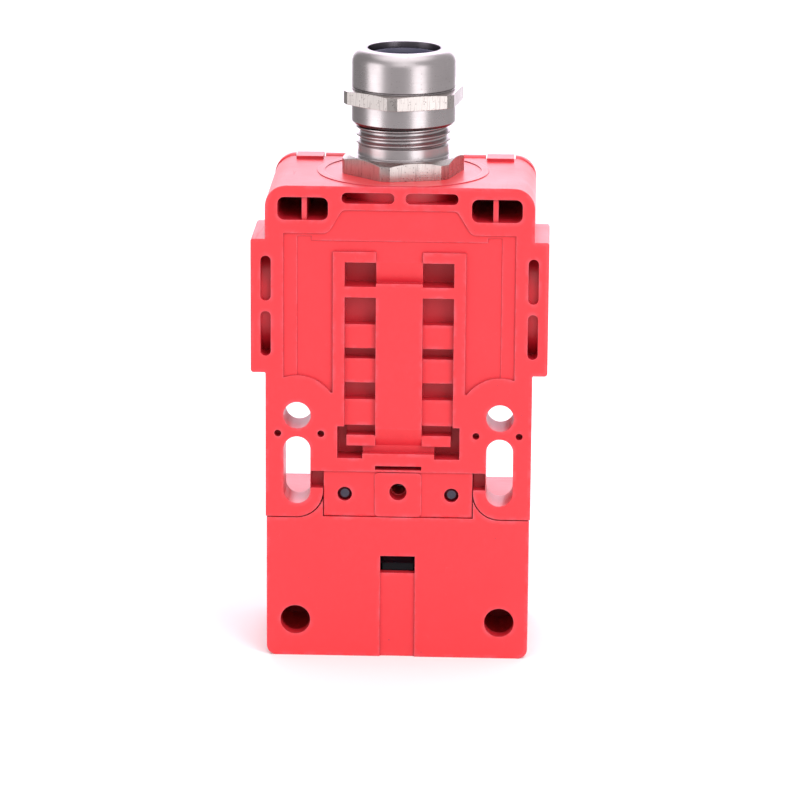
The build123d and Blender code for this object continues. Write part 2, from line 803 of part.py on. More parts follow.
def spiral_point(turn):
    """A point of the cam's flank, set in from the follower's path by its radius and the gap."""
    rate = plunger_lift / math.radians(cam_turn_deg)
    reach = follower_centre + rate * turn
    slope = math.atan2(rate, reach)
    inset = follower_radius + follower_gap
    y = -reach * math.sin(turn) + inset * math.sin(turn - slope)
    z = reach * math.cos(turn) - inset * math.cos(turn - slope)
    return (y, z)


def cam_flank_outline():
    """The lifting spiral, then a drop and a plain round back to its start."""
    first = math.radians(-spiral_lead_deg)
    last = math.radians(cam_turn_deg + spiral_run_deg)
    step = (last - first) / (spiral_points - 1)
    points = [spiral_point(first + step * i) for i in range(spiral_points)]
    low_radius = math.hypot(points[0][0], points[0][1])
    end_angle = math.atan2(points[-1][1], points[-1][0])
    start_angle = math.atan2(points[0][1], points[0][0])
    middle_angle = (end_angle + start_angle + 2 * math.pi) / 2
    drop = (low_radius * math.cos(end_angle), low_radius * math.sin(end_angle))
    middle = (low_radius * math.cos(middle_angle), low_radius * math.sin(middle_angle))
    spiral = Spline(*points)
    wall = Line(points[-1], drop)
    back = ThreePointArc(drop, middle, points[0])
    return make_face([spiral, wall, back])


def cam_notch(angle_deg):
    """A notch in the rim that the end bar of the tongue falls into."""
    outline = Pos(cam_radius - cam_notch_depth / 2 + cam_notch_margin, 0) * Rectangle(
        cam_notch_depth + 2 * cam_notch_margin, cam_notch_width)
    return Rot(0, 0, angle_deg) * outline


def cam_wheel():
    disc = Circle(cam_radius)
    for angle_deg in cam_notch_angles:
        disc -= cam_notch(angle_deg)
    place = Pos(cam_y, cam_z)
    shape = beam(place * disc, -cam_disc_half, cam_disc_half)
    shape += beam(place * cam_flank_outline(), -cam_flank_half, cam_flank_half)
    hub_half = tongue_space_half - cam_side_gap
    shape += rod_x(cam_y, cam_z, -hub_half, hub_half, cam_hub_radius)
    return shape - rod_x(cam_y, cam_z, -hub_half, hub_half, axle_radius + running_gap)


def cam_axle():
    end_x = tongue_space_half + axle_end_seat - axle_end_gap
    return rod_x(cam_y, cam_z, -end_x, end_x, axle_radius)


def plunger():
    """A round stem on a fork whose two round-nosed feet ride above the cam's flanks."""
    tip_z = cam_z + follower_centre
    bar_top_z = fork_bar_low_z + fork_bar_height
    stem = rod_z(0, cam_y, bar_top_z, carrier_low_z, plunger_radius)
    bar = box(-fork_outer_x, fork_outer_x, cam_y - fork_half_depth, cam_y + fork_half_depth,
              fork_bar_low_z, bar_top_z)
    foot = box(fork_inner_x, fork_outer_x, cam_y - follower_radius, cam_y + follower_radius,
               tip_z, fork_bar_low_z)
    foot += rod_x(cam_y, tip_z, fork_inner_x, fork_outer_x, follower_radius)
    return stem + bar + both(foot)


def coil(x, y, z0, z1, mean_radius, wire, turns):
    """A spring of square wire that runs up from z0 to z1."""
    pitch = (z1 - z0 - wire) / turns
    path = Helix(pitch=pitch, height=z1 - z0 - wire, radius=mean_radius)
    start = Plane(origin=path @ 0, x_dir=(1, 0, 0), z_dir=path % 0)
    return Pos(x, y, z0 + wire / 2) * sweep(start * Rectangle(wire, wire), path=path,
                                            is_frenet=True)


def plunger_spring():
    low_z = fork_bar_low_z + fork_bar_height + spring_gap
    high_z = waist_bottom_z - guide_flange_height - close_gap
    mean = plunger_radius + spring_gap + spring_wire / 2
    return coil(0, cam_y, low_z, high_z, mean, spring_wire, spring_turns)


def plunger_guide():
    low_z = waist_bottom_z - guide_flange_height
    shape = rod_z(0, cam_y, low_z, waist_bottom_z, guide_flange_radius)
    shape += rod_z(0, cam_y, waist_bottom_z, cavity_low_z + guide_rise, guide_radius)
    return shape - rod_z(0, cam_y, low_z, cavity_low_z + guide_rise, plunger_radius + running_gap)


def pole_z(index):
    return block_low_z + (index + 0.5) * pole_pitch + block_rib / 2


def block_top_z():
    return block_low_z + pole_count * pole_pitch + block_rib


def block_face_y():
    return floor_y + block_base


def contact_block():
    """A moulded base with a channel for the carrier and ribs that part the poles."""
    face_y = block_face_y()
    top_z = block_top_z()
    shape = box(-block_half_width, block_half_width, floor_y, face_y, block_low_z, top_z)
    tab_x = block_half_width + block_tab_reach
    tabs = rounded_patch(-tab_x, tab_x, block_tab_z - block_tab_height / 2,
                         block_tab_z + block_tab_height / 2, block_tab_radius)
    shape += slab(tabs, floor_y, floor_y + block_tab_thickness)
    for index in range(pole_count + 1):
        rib_z = block_low_z + index * pole_pitch
        shape += box(-block_half_width, block_half_width, face_y, face_y + block_rib_height,
                     rib_z, rib_z + block_rib)
    channel_x = carrier_half_width + carrier_space
    shape -= box(-channel_x, channel_x, cam_y - carrier_back_depth - carrier_space,
                 face_y + block_rib_height, block_low_z, top_z)
    screw_x = block_half_width + block_tab_reach / 2
    cuts = rod_y(screw_x, block_tab_z, floor_y, floor_y + block_tab_thickness,
                 block_screw_radius + running_gap)
    for index in range(pole_count):
        cuts += rod_y(terminal_x, pole_z(index), face_y - terminal_screw_bite, face_y,
                      terminal_screw_radius)
    return shape - both(cuts)


def contact_block_screws():
    screw_x = block_half_width + block_tab_reach / 2
    head_y = floor_y + block_tab_thickness
    screw = rod_y(screw_x, block_tab_z, floor_y - block_screw_bite, head_y, block_screw_radius)
    screw += rod_y(screw_x, block_tab_z, head_y, head_y + block_screw_head_height,
                   block_screw_head_radius)
    return both(screw)


def contact_cover():
    y0 = block_face_y() + block_rib_height
    outline = rounded_patch(-cover_half_width, cover_half_width, block_low_z, block_top_z(),
                            cover_radius)
    return slab(outline, y0, y0 + cover_thickness)


def bridge_y():
    return cam_y + carrier_front_depth - carrier_front_strip - bridge_width / 2 - seat_gap


def bridge_low_z(index):
    """Height of a bridge at rest: the last pole is closed at rest, the others are open."""
    if index == pole_count - 1:
        return flange_z(index) + strip_thickness + tip_height + closed_gap + tip_height
    return flange_z(index) - tip_height - open_gap - tip_height - bridge_height


def flange_z(index):
    """Underside of the fixed contact's flange."""
    if index == pole_count - 1:
        return pole_z(index) - flange_drop
    return pole_z(index) + flange_rise


def contact_carrier():
    """A slide on the plunger, with a window for each bridge and its spring."""
    y0 = cam_y - carrier_back_depth
    y1 = cam_y + carrier_front_depth
    shape = box(-carrier_half_width, carrier_half_width, y0, y1, carrier_low_z,
                block_top_z() - carrier_space)
    for index in range(pole_count):
        low, high = carrier_window(index)
        shape -= box(-carrier_half_width, carrier_half_width,
                     bridge_y() - bridge_width / 2 - seat_gap,
                     bridge_y() + bridge_width / 2 + seat_gap, low, high)
    return shape


def carrier_window(index):
    """Lower and upper end of the window, with room for the spring behind the bridge."""
    bridge_z = bridge_low_z(index)
    if index == pole_count - 1:
        return (bridge_z, bridge_z + bridge_height + bridge_spring_space)
    return (bridge_z - bridge_spring_space, bridge_z + bridge_height)


def contact_bridges():
    """One bar for each pole with a round tip at each end that faces the fixed contact."""
    bars = None
    for index in range(pole_count):
        z = bridge_low_z(index)
        bar = box(-bridge_half_length, bridge_half_length, bridge_y() - bridge_width / 2,
                  bridge_y() + bridge_width / 2, z, z + bridge_height)
        tip_z = z + bridge_height
        if index == pole_count - 1:
            tip_z = z - tip_height
        tip_x = bridge_half_length - tip_radius
        bar += both(rod_z(tip_x, bridge_y(), tip_z, tip_z + tip_height, tip_radius))
        bars = bar if bars is None else bars + bar
    return bars


def bridge_springs():
    springs = None
    for index in range(pole_count):
        low, high = carrier_window(index)
        z = bridge_low_z(index)
        ends = (z + bridge_height, high) if index == pole_count - 1 else (low, z)
        spring = coil(0, bridge_y(), ends[0] + running_gap, ends[1] - running_gap,
                      bridge_spring_radius, bridge_spring_wire, bridge_spring_turns)
        springs = spring if springs is None else springs + spring
    return springs


def fixed_contacts():
    """A strip under each terminal that turns up into a flange with a round tip."""
    strips = None
    for index in range(pole_count):
        z = pole_z(index)
        flange = flange_z(index)
        y0 = block_face_y()
        strip = box(flange_inner_x, terminal_x + clamp_size / 2, y0, y0 + strip_thickness,
                    min(flange, z - clamp_size / 2), max(flange + strip_thickness,
                                                         z + clamp_size / 2))
        strip -= box(flange_inner_x, flange_outer_x, y0, y0 + strip_thickness,
                     *strip_relief(index))
        strip += box(flange_inner_x, flange_outer_x, y0, bridge_y() + bridge_width / 2,
                     flange, flange + strip_thickness)
        tip_z = flange - tip_height
        if index == pole_count - 1:
            tip_z = flange + strip_thickness
        tip_x = bridge_half_length - tip_radius
        strip += rod_z(tip_x, bridge_y(), tip_z, tip_z + tip_height, tip_radius)
        strip -= rod_y(terminal_x, z, y0, y0 + strip_thickness, terminal_screw_radius)
        strip = both(strip)
        strips = strip if strips is None else strips + strip
    return strips


def strip_relief(index):
    """The part of the strip that is cut away so that only the flange reaches the bridge."""
    z = pole_z(index)
    flange = flange_z(index)
    if index == pole_count - 1:
        return (flange + strip_thickness, z + clamp_size / 2)
    return (z - clamp_size / 2, flange)


def each_terminal(piece):
    """Copies of a piece at every terminal, from one made at the first height."""
    group = None
    for index in range(pole_count):
        pair = both(Pos(terminal_x, 0, pole_z(index)) * piece)
        group = pair if group is None else group + pair
    return group


def terminal_clamps():
    y0 = block_face_y() + strip_thickness
    plate = box(-clamp_size / 2, clamp_size / 2, y0, y0 + clamp_thickness,
                -clamp_size / 2, clamp_size / 2)
    plate -= rod_y(0, 0, y0, y0 + clamp_thickness, terminal_screw_radius + running_gap)
    return each_terminal(plate)


def terminal_screws():
    head_y = block_face_y() + strip_thickness + clamp_thickness
    screw = rod_y(0, 0, block_face_y() - terminal_screw_bite, head_y, terminal_screw_radius)
    screw += rod_y(0, 0, head_y, head_y + terminal_screw_head_height, terminal_screw_head_radius)
    return each_terminal(screw)


def hex_outline(turn_deg):
    """A hexagon with its corners turned off, one corner turned from the mounting face."""
    hexagon = RegularPolygon(hex_flats / 2, 6, major_radius=False)
    corner_turn = -90 + turn_deg
    return (Rot(0, 0, corner_turn) * hexagon) & Circle(hex_corner_radius)


def hex_band(z0, z1, turn_deg, both_ends):
    """A hexagon whose upper end, or both ends, are turned off at an angle round a flat face."""
    drop = (hex_corner_radius - hex_face_radius) * math.tan(math.radians(hex_chamfer_deg))
    low_radius = hex_face_radius if both_ends else hex_corner_radius
    profile = make_face(Polyline(
        (0, z0), (low_radius, z0), (hex_corner_radius, z0 + drop),
        (hex_corner_radius, z1 - drop), (hex_face_radius, z1), (0, z1), close=True))
    return tower(hex_outline(turn_deg), z0, z1) & revolve(Plane.XZ * profile, axis=Axis.Z)


def gland_body():
    """A tube with its case thread, hexagon, neck and the thread of the dome nut."""
    low_z = case_top_z - gland_thread_bite
    shape = rod_z(0, 0, low_z, case_top_z - gland_ring_height, gland_thread_radius)
    shape += rod_z(0, 0, low_z, case_top_z, gland_undercut_radius)
    shape += hex_band(case_top_z, lower_hex_top_z, lower_hex_turn, False)
    shape += rod_z(0, 0, lower_hex_top_z, neck_top_z, neck_radius)
    shape += rod_z(0, 0, neck_top_z, thread_top_z, upper_thread_radius)
    shape -= rod_z(0, 0, low_z, thread_top_z, gland_bore_radius)
    return shape - rod_z(0, 0, thread_top_z - seal_seat_depth, thread_top_z, seal_seat_radius)


def gland_ring_seal():
    low_z = case_top_z - gland_ring_height
    ring = rod_z(0, 0, low_z, case_top_z, gland_ring_radius)
    return ring - rod_z(0, 0, low_z, case_top_z, gland_undercut_radius)


def gland_seal():
    low_z = thread_top_z - seal_seat_depth
    high_z = nut_lip_z + seal_rise
    shape = rod_z(0, 0, low_z, high_z, seal_seat_radius - seal_gap)
    shape -= rod_z(0, 0, nut_lip_z - slip_ring_thickness, high_z,
                   seal_seat_radius) - rod_z(0, 0, nut_lip_z - slip_ring_thickness, high_z,
                                             nut_opening_radius - loose_gap)
    return shape - rod_z(0, 0, low_z, high_z, seal_bore_radius)


def gland_claw():
    """A ring of plastic fingers round the seal that the nut presses inwards."""
    shape = rod_z(0, 0, thread_top_z, slip_ring_low_z, seal_seat_radius + claw_wall)
    shape -= rod_z(0, 0, thread_top_z, slip_ring_low_z, seal_seat_radius)
    slot_low_z = thread_top_z + claw_root
    for index in range(claw_slots // 2):
        cut = box(-nut_bore_radius, nut_bore_radius, -claw_slot_width / 2, claw_slot_width / 2,
                  slot_low_z, slip_ring_low_z)
        shape -= Rot(0, 0, 360 / claw_slots * index) * cut
    return shape


def gland_slip_ring():
    shape = rod_z(0, 0, slip_ring_low_z, nut_lip_z, nut_inner_radius - slip_ring_gap)
    return shape - rod_z(0, 0, slip_ring_low_z, nut_lip_z, nut_opening_radius)


def gland_nut():
    """A dome nut: skirt, hexagon band and a domed shoulder round the cable opening."""
    hex_low_z = nut_low_z + nut_skirt_height
    hex_top_z = hex_low_z + upper_hex_height
    skirt = rod_z(0, 0, nut_low_z, hex_low_z, nut_skirt_radius)
    skirt = chamfer(skirt.edges().sort_by(Axis.Z)[0], nut_chamfer)
    dome = rod_z(0, 0, hex_top_z, nut_top_z, dome_radius)
    dome = fillet(dome.edges().sort_by(Axis.Z)[-1], dome_shoulder_radius)
    shape = skirt + hex_band(hex_low_z, hex_top_z, upper_hex_turn, True) + dome
    shape -= rod_z(0, 0, nut_low_z, hex_top_z, nut_bore_radius)
    shape -= rod_z(0, 0, hex_top_z, nut_lip_z, nut_inner_radius)
    return shape - rod_z(0, 0, nut_lip_z, nut_top_z, nut_opening_radius)


nodes = {
    "rear_housing": rear_housing,
    "lid": lid,
    "lid_gasket": lid_gasket,
    "lid_screws": lid_screws,
    "hinge_pins": hinge_pins,
    "head_block": head_block,
    "head_faceplate": head_faceplate,
    "faceplate_screws": faceplate_screws,
    "head_screws": head_screws,
    "cam_wheel": cam_wheel,
    "cam_axle": cam_axle,
    "plunger": plunger,
    "plunger_spring": plunger_spring,
    "plunger_guide": plunger_guide,
    "contact_block": contact_block,
    "contact_block_screws": contact_block_screws,
    "contact_cover": contact_cover,
    "contact_carrier": contact_carrier,
    "contact_bridges": contact_bridges,
    "bridge_springs": bridge_springs,
    "fixed_contacts": fixed_contacts,
    "terminal_clamps": terminal_clamps,
    "terminal_screws": terminal_screws,
    "gland_body": gland_body,
    "gland_ring_seal": gland_ring_seal,
    "gland_seal": gland_seal,
    "gland_claw": gland_claw,
    "gland_slip_ring": gland_slip_ring,
    "gland_nut": gland_nut,
}

for name, make in nodes.items():
    export_step(make(), os.path.join("parts", name + ".step"))
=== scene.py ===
import bpy
import bmesh
import math
import numpy as np
from mathutils import Matrix, Vector


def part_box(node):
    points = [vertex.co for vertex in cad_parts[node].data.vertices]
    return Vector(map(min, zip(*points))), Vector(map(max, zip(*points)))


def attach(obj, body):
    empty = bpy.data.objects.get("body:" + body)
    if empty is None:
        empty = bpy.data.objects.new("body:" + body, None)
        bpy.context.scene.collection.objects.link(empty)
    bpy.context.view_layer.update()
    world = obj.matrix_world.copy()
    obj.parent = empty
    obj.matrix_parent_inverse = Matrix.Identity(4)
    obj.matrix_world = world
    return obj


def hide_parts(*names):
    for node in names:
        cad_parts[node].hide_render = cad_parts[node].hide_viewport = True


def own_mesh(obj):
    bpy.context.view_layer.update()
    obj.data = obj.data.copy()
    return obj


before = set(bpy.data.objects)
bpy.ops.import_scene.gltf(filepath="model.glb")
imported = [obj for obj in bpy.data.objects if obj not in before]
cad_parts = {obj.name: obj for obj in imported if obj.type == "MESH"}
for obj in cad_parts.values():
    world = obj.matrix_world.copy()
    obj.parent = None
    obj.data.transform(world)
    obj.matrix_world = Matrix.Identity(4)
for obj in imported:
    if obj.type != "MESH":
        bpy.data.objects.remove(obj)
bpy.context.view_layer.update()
millimetre = 0.001
touching = 1e-7           # points nearer than this, in metres, are one
print("frame loaded,", len(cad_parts), "nodes")


# Node helpers. A socket is named as in Blender with _ for a space, or s0, s1 by its place.
def addNode(tree, kind, settings=None, **sockets):
    node = tree.nodes.new(kind)
    for key, value in (settings or {}).items():
        setattr(node, key, value)
    for key, value in sockets.items():
        place = int(key[1:]) if key[0] == "s" and key[1:].isdigit() else key.replace("_", " ")
        if isinstance(value, bpy.types.NodeSocket):
            tree.links.new(value, node.inputs[place])
        else:
            node.inputs[place].default_value = value
    return node


def calc(tree, operation, *values, clamp=False):
    sockets = {"s%d" % place: value for place, value in enumerate(values)}
    settings = {"operation": operation, "use_clamp": clamp}
    return addNode(tree, "ShaderNodeMath", settings, **sockets).outputs[0]


def blendColours(tree, share, first, second):
    return addNode(tree, "ShaderNodeMix", {"data_type": "RGBA"},
                   s0=share, s6=first, s7=second).outputs[2]


def remap(tree, value, low, high, toLow=0.0, toHigh=1.0):
    return addNode(tree, "ShaderNodeMapRange", None, Value=value, From_Min=low, From_Max=high,
                   To_Min=toLow, To_Max=toHigh).outputs[0]


# An S-shaped step: 0 at one value of the input and 1 at the other.
def fade(tree, value, zeroAt, oneAt):
    return addNode(tree, "ShaderNodeMapRange", {"interpolation_type": "SMOOTHSTEP"}, Value=value,
                   From_Min=zeroAt, From_Max=oneAt).outputs[0]


def noise(tree, vector, scale, detail=2.0, roughness=0.5):
    return addNode(tree, "ShaderNodeTexNoise", None, Vector=vector, Scale=scale, Detail=detail,
                   Roughness=roughness).outputs[0]


def startGroup(name, inputs, outputs):
    group = bpy.data.node_groups.new(name, "ShaderNodeTree")
    for label, value in inputs.items():
        kind = "NodeSocketVector" if label == "Vector" else "NodeSocketFloat"
        socket = group.interface.new_socket(name=label, in_out="INPUT", socket_type=kind)
        if label != "Vector":
            socket.default_value = value
    for label in outputs:
        kind = "NodeSocketVector" if label == "Normal" else "NodeSocketFloat"
        group.interface.new_socket(name=label, in_out="OUTPUT", socket_type=kind)
    return group, group.nodes.new("NodeGroupInput"), group.nodes.new("NodeGroupOutput")


def useGroup(tree, group, **sockets):
    return addNode(tree, "ShaderNodeGroup", {"node_tree": group}, **sockets)


# Edge wear: a softened normal over a small radius, and a broken mask where it leaves the face.
def buildEdgeWear():
    group, given, result = startGroup(
        "edgeWear", {"Vector": None, "Radius": 0.0002, "Breakup": 900.0}, ["Mask", "Normal"])
    flatCosine, squareCosine = 0.995, 0.86      # how far the softened normal leaves the face
    thin, full = 0.36, 0.62                     # noise values of the gaps in the wear
    softened = addNode(group, "ShaderNodeBevel", {"samples": 5}, Radius=given.outputs["Radius"])
    face = addNode(group, "ShaderNodeNewGeometry")
    along = addNode(group, "ShaderNodeVectorMath", {"operation": "DOT_PRODUCT"},
                    s0=softened.outputs[0], s1=face.outputs["Normal"])
    edge = remap(group, along.outputs["Value"], flatCosine, squareCosine)
    patches = noise(group, given.outputs["Vector"], given.outputs["Breakup"], 3.0, 0.6)
    worn = calc(group, "MULTIPLY", edge, remap(group, patches, thin, full), clamp=True)
    group.links.new(worn, result.inputs["Mask"])
    group.links.new(softened.outputs[0], result.inputs["Normal"])
    return group


# Grain: fine and broad noise added together as a height, and slow patches as a tone.
def buildGrain():
    group, given, result = startGroup(
        "grain", {"Vector": None, "Fine": 3500.0, "Broad": 700.0, "Patch": 60.0},
        ["Height", "Tone"])
    vector = given.outputs["Vector"]
    fineShare = 0.4
    fine = noise(group, vector, given.outputs["Fine"], 2.0, 0.6)
    broad = noise(group, vector, given.outputs["Broad"], 2.0, 0.5)
    patch = noise(group, vector, given.outputs["Patch"], 4.0, 0.62)
    height = calc(group, "ADD", calc(group, "MULTIPLY", fine, fineShare), broad)
    group.links.new(height, result.inputs["Height"])
    group.links.new(patch, result.inputs["Tone"])
    return group


# Specks: round dots of random size in some of the cells of a cell pattern.
def buildSpecks():
    group, given, result = startGroup(
        "specks", {"Vector": None, "Scale": 900.0, "Size": 0.2, "Share": 0.3}, ["Mask"])
    cells = addNode(group, "ShaderNodeTexVoronoi", None, Vector=given.outputs["Vector"],
                    Scale=given.outputs["Scale"])
    chance = addNode(group, "ShaderNodeSeparateColor", None, Color=cells.outputs["Color"])
    reach = calc(group, "MULTIPLY", given.outputs["Size"], chance.outputs[1])
    inside = calc(group, "SUBTRACT", 1.0, calc(group, "DIVIDE", cells.outputs["Distance"], reach))
    picked = calc(group, "LESS_THAN", chance.outputs[0], given.outputs["Share"])
    dots = calc(group, "MULTIPLY", calc(group, "MULTIPLY", inside, 2.0, clamp=True), picked)
    group.links.new(dots, result.inputs["Mask"])
    return group


# Scratches: noise stretched a hundredfold one way, kept only in narrow bands of its value.
def buildScratches():
    group, given, result = startGroup(
        "scratches", {"Vector": None, "Scale": 40.0, "Stretch": 40.0, "Turn": 0.6, "Width": 0.012},
        ["Mask"])
    lean, areaScale, bare, covered = 0.3, 130.0, 0.52, 0.66     # scratches lie in some areas
    turn = addNode(group, "ShaderNodeCombineXYZ", None, X=given.outputs["Turn"],
                   Y=given.outputs["Turn"], Z=lean)
    stretch = addNode(group, "ShaderNodeCombineXYZ", None, X=given.outputs["Stretch"], Y=1.0,
                      Z=given.outputs["Stretch"])
    place = addNode(group, "ShaderNodeMapping", None, Vector=given.outputs["Vector"],
                    Rotation=turn.outputs[0], Scale=stretch.outputs[0])
    lines = noise(group, place.outputs[0], given.outputs["Scale"], 1.0, 0.4)
    offset = calc(group, "ABSOLUTE", calc(group, "SUBTRACT", lines, 0.5))
    near = calc(group, "SUBTRACT", 1.0, calc(group, "DIVIDE", offset, given.outputs["Width"]))
    some = remap(group, noise(group, given.outputs["Vector"], areaScale, 2.0), bare, covered)
    group.links.new(calc(group, "MULTIPLY", calc(group, "MAXIMUM", near, 0.0), some, clamp=True),
                    result.inputs["Mask"])
    return group


edgeWear = buildEdgeWear()
grain = buildGrain()
specks = buildSpecks()
scratches = buildScratches()
print("effects built")


# A colour laid over another by a mask and a strength.
def layer(tree, mask, strength, below, above):
    return blendColours(tree, calc(tree, "MULTIPLY", mask, strength), below, above)


# What both kinds of finish start with: the shader, Object coordinates and the grain.
def startFinish(name, look):
    material = bpy.data.materials.new(name)
    material.use_nodes = True
    tree = material.node_tree
    place = addNode(tree, "ShaderNodeTexCoord").outputs["Object"]
    surface = useGroup(tree, grain, Vector=place, Fine=look["fine"], Broad=look["broad"],
                       Patch=look["patch"])
    return material, tree, tree.nodes["Principled BSDF"], place, surface


def layMarks(tree, place, look, colour):
    for speck in look["specks"]:
        dots = useGroup(tree, specks, Vector=place, Scale=speck["scale"], Size=speck["size"],
                        Share=speck["share"])
        colour = layer(tree, dots.outputs["Mask"], speck["strength"], colour, speck["colour"])
    scratch = look["scratch"]
    rubbed = useGroup(tree, scratches, Vector=place, Scale=scratch["scale"],
                      Stretch=scratch["stretch"], Turn=scratch["turn"],
                      Width=scratch["width"]).outputs["Mask"]
    return layer(tree, rubbed, scratch["strength"], colour, scratch["colour"]), rubbed


def openness(tree, reach, settings):
    return addNode(tree, "ShaderNodeAmbientOcclusion", dict(settings, samples=6),
                   Distance=reach).outputs["AO"]


def finishSurface(tree, shader, look, rough, height, normal):
    bump = addNode(tree, "ShaderNodeBump", None, Strength=look["bump"], Distance=look["depth"],
                   Height=height, Normal=normal)
    tree.links.new(rough, shader.inputs["Roughness"])
    tree.links.new(bump.outputs[0], shader.inputs["Normal"])


# The values between which each mask of the moulded finishes goes from none to full. The crevice
# mask is painted shade: none in the open, full where occlusion is strongest.
mouldedMasks = {"tone": (0.35, 0.65), "roughTone": (0.3, 0.7), "mottle": (0.55, 0.85),
                "rim": (0.98, 0.72), "rimPatch": (0.38, 0.68), "openEdge": (0.8, 0.97),
                "crevice": (1.0, 0.3), "dirt": (0.55, 0.75), "scuffRough": 0.12}


# A moulded material: two near colours in patches, specks, scuffs and grain, with painted shade in
# crevices, and rims and edges rubbed pale.
def mouldedMaterial(name, look):
    masks = mouldedMasks
    material, tree, shader, place, surface = startFinish(name, look)
    tone, height = surface.outputs["Tone"], surface.outputs["Height"]
    colour = blendColours(tree, remap(tree, tone, *masks["tone"]), look["colour"], look["second"])
    colour = layer(tree, fade(tree, height, *masks["mottle"]), look["mottle"], colour,
                   look["second"])
    colour, rubbed = layMarks(tree, place, look, colour)
    rim = look.get("rim")
    if rim:
        inside = openness(tree, rim["reach"], {"only_local": True, "inside": True})
        patches = fade(tree, noise(tree, place, rim["scale"], 4.0, 0.65), *masks["rimPatch"])
        share = calc(tree, "MULTIPLY", fade(tree, inside, *masks["rim"]), patches)
        colour = layer(tree, share, rim["strength"], colour, rim["colour"])
    worn = useGroup(tree, edgeWear, Vector=place, Radius=look["edgeRadius"],
                    Breakup=look["edgeBreakup"])
    share = calc(tree, "MULTIPLY", worn.outputs["Mask"], look["edgeStrength"])
    # Painted shade: where occlusion within the reach is strong, the colour turns to the crevice
    # colour, darkening recesses and corners. The dirt noise after it is random dirt patches.
    crevice = look.get("crevice")
    if crevice:
        clear = openness(tree, crevice["reach"], {"only_local": True})
        share = calc(tree, "MULTIPLY", share, fade(tree, clear, *masks["openEdge"]))
        colour = layer(tree, fade(tree, clear, *masks["crevice"]), crevice["strength"], colour,
                       crevice["colour"])
        dirt = noise(tree, place, crevice["dirtScale"], 5.0, 0.7)
        colour = layer(tree, fade(tree, dirt, *masks["dirt"]), crevice["dirtStrength"], colour,
                       crevice["dirtColour"])
    colour = blendColours(tree, share, colour, look["edgeColour"])
    tree.links.new(colour, shader.inputs["Base Color"])
    rough = remap(tree, tone, *masks["roughTone"], *look["roughness"])
    rough = calc(tree, "ADD", rough, calc(tree, "MULTIPLY", rubbed, masks["scuffRough"]))
    finishSurface(tree, shader, look, rough, height, worn.outputs["Normal"])
    shader.inputs["Specular IOR Level"].default_value = look["specular"]
    return material


metalMasks = {"tone": (0.3, 0.7), "rings": (0.35, 0.7), "lines": (0.5, 0.7),
              "crevice": (0.65, 0.0), "scratchDepth": 0.5}


# What only the plated gland shows: painted shade inside the bore, rough sawn flats, and painted
# shade in recesses and on faces that look down. Its radii are metres from the upright axis.
def platedDetail(tree, place, look, colour):
    flats, bore, crevice = look["flats"], look["bore"], look["crevice"]
    level = addNode(tree, "ShaderNodeVectorMath", {"operation": "MULTIPLY"}, s0=place,
                    s1=(1.0, 1.0, 0.0)).outputs[0]
    across = addNode(tree, "ShaderNodeVectorMath", {"operation": "LENGTH"},
                     s0=level).outputs["Value"]
    # Painted shade: inside the bore radius the colour goes dark, standing in for shade inside the
    # opening.
    colour = layer(tree, fade(tree, across, *bore["radius"]), bore["strength"], colour,
                   bore["colour"])
    onFlat = fade(tree, across, *flats["radius"])
    colour = blendColours(tree, onFlat, colour, flats["tint"])
    dots = useGroup(tree, specks, Vector=place, Scale=flats["scale"], Size=flats["size"],
                    Share=flats["share"]).outputs["Mask"]
    dots = calc(tree, "MULTIPLY", dots, flats["strength"])
    upright = addNode(tree, "ShaderNodeMapping", None, Vector=place, Scale=flats["squeeze"])
    lines = noise(tree, upright.outputs[0], flats["lineScale"], 2.0, 0.6)
    lines = calc(tree, "MULTIPLY", fade(tree, lines, *metalMasks["lines"]), flats["lineStrength"])
    colour = layer(tree, calc(tree, "MAXIMUM", dots, lines), onFlat, colour, flats["colour"])
    # Painted shade: darker where occluded and on faces that look down, less so on the inner radii.
    clear = openness(tree, crevice["reach"], {})
    facing = addNode(tree, "ShaderNodeSeparateXYZ", None,
                     s0=addNode(tree, "ShaderNodeTexCoord").outputs["Normal"]).outputs[2]
    outer = remap(tree, across, *crevice["from"], crevice["underShadeShare"], 1.0)
    under = calc(tree, "MULTIPLY", fade(tree, facing, *crevice["under"]), outer)
    dark = calc(tree, "MAXIMUM", fade(tree, clear, *metalMasks["crevice"]), under)
    return layer(tree, dark, crevice["strength"], colour, crevice["colour"])


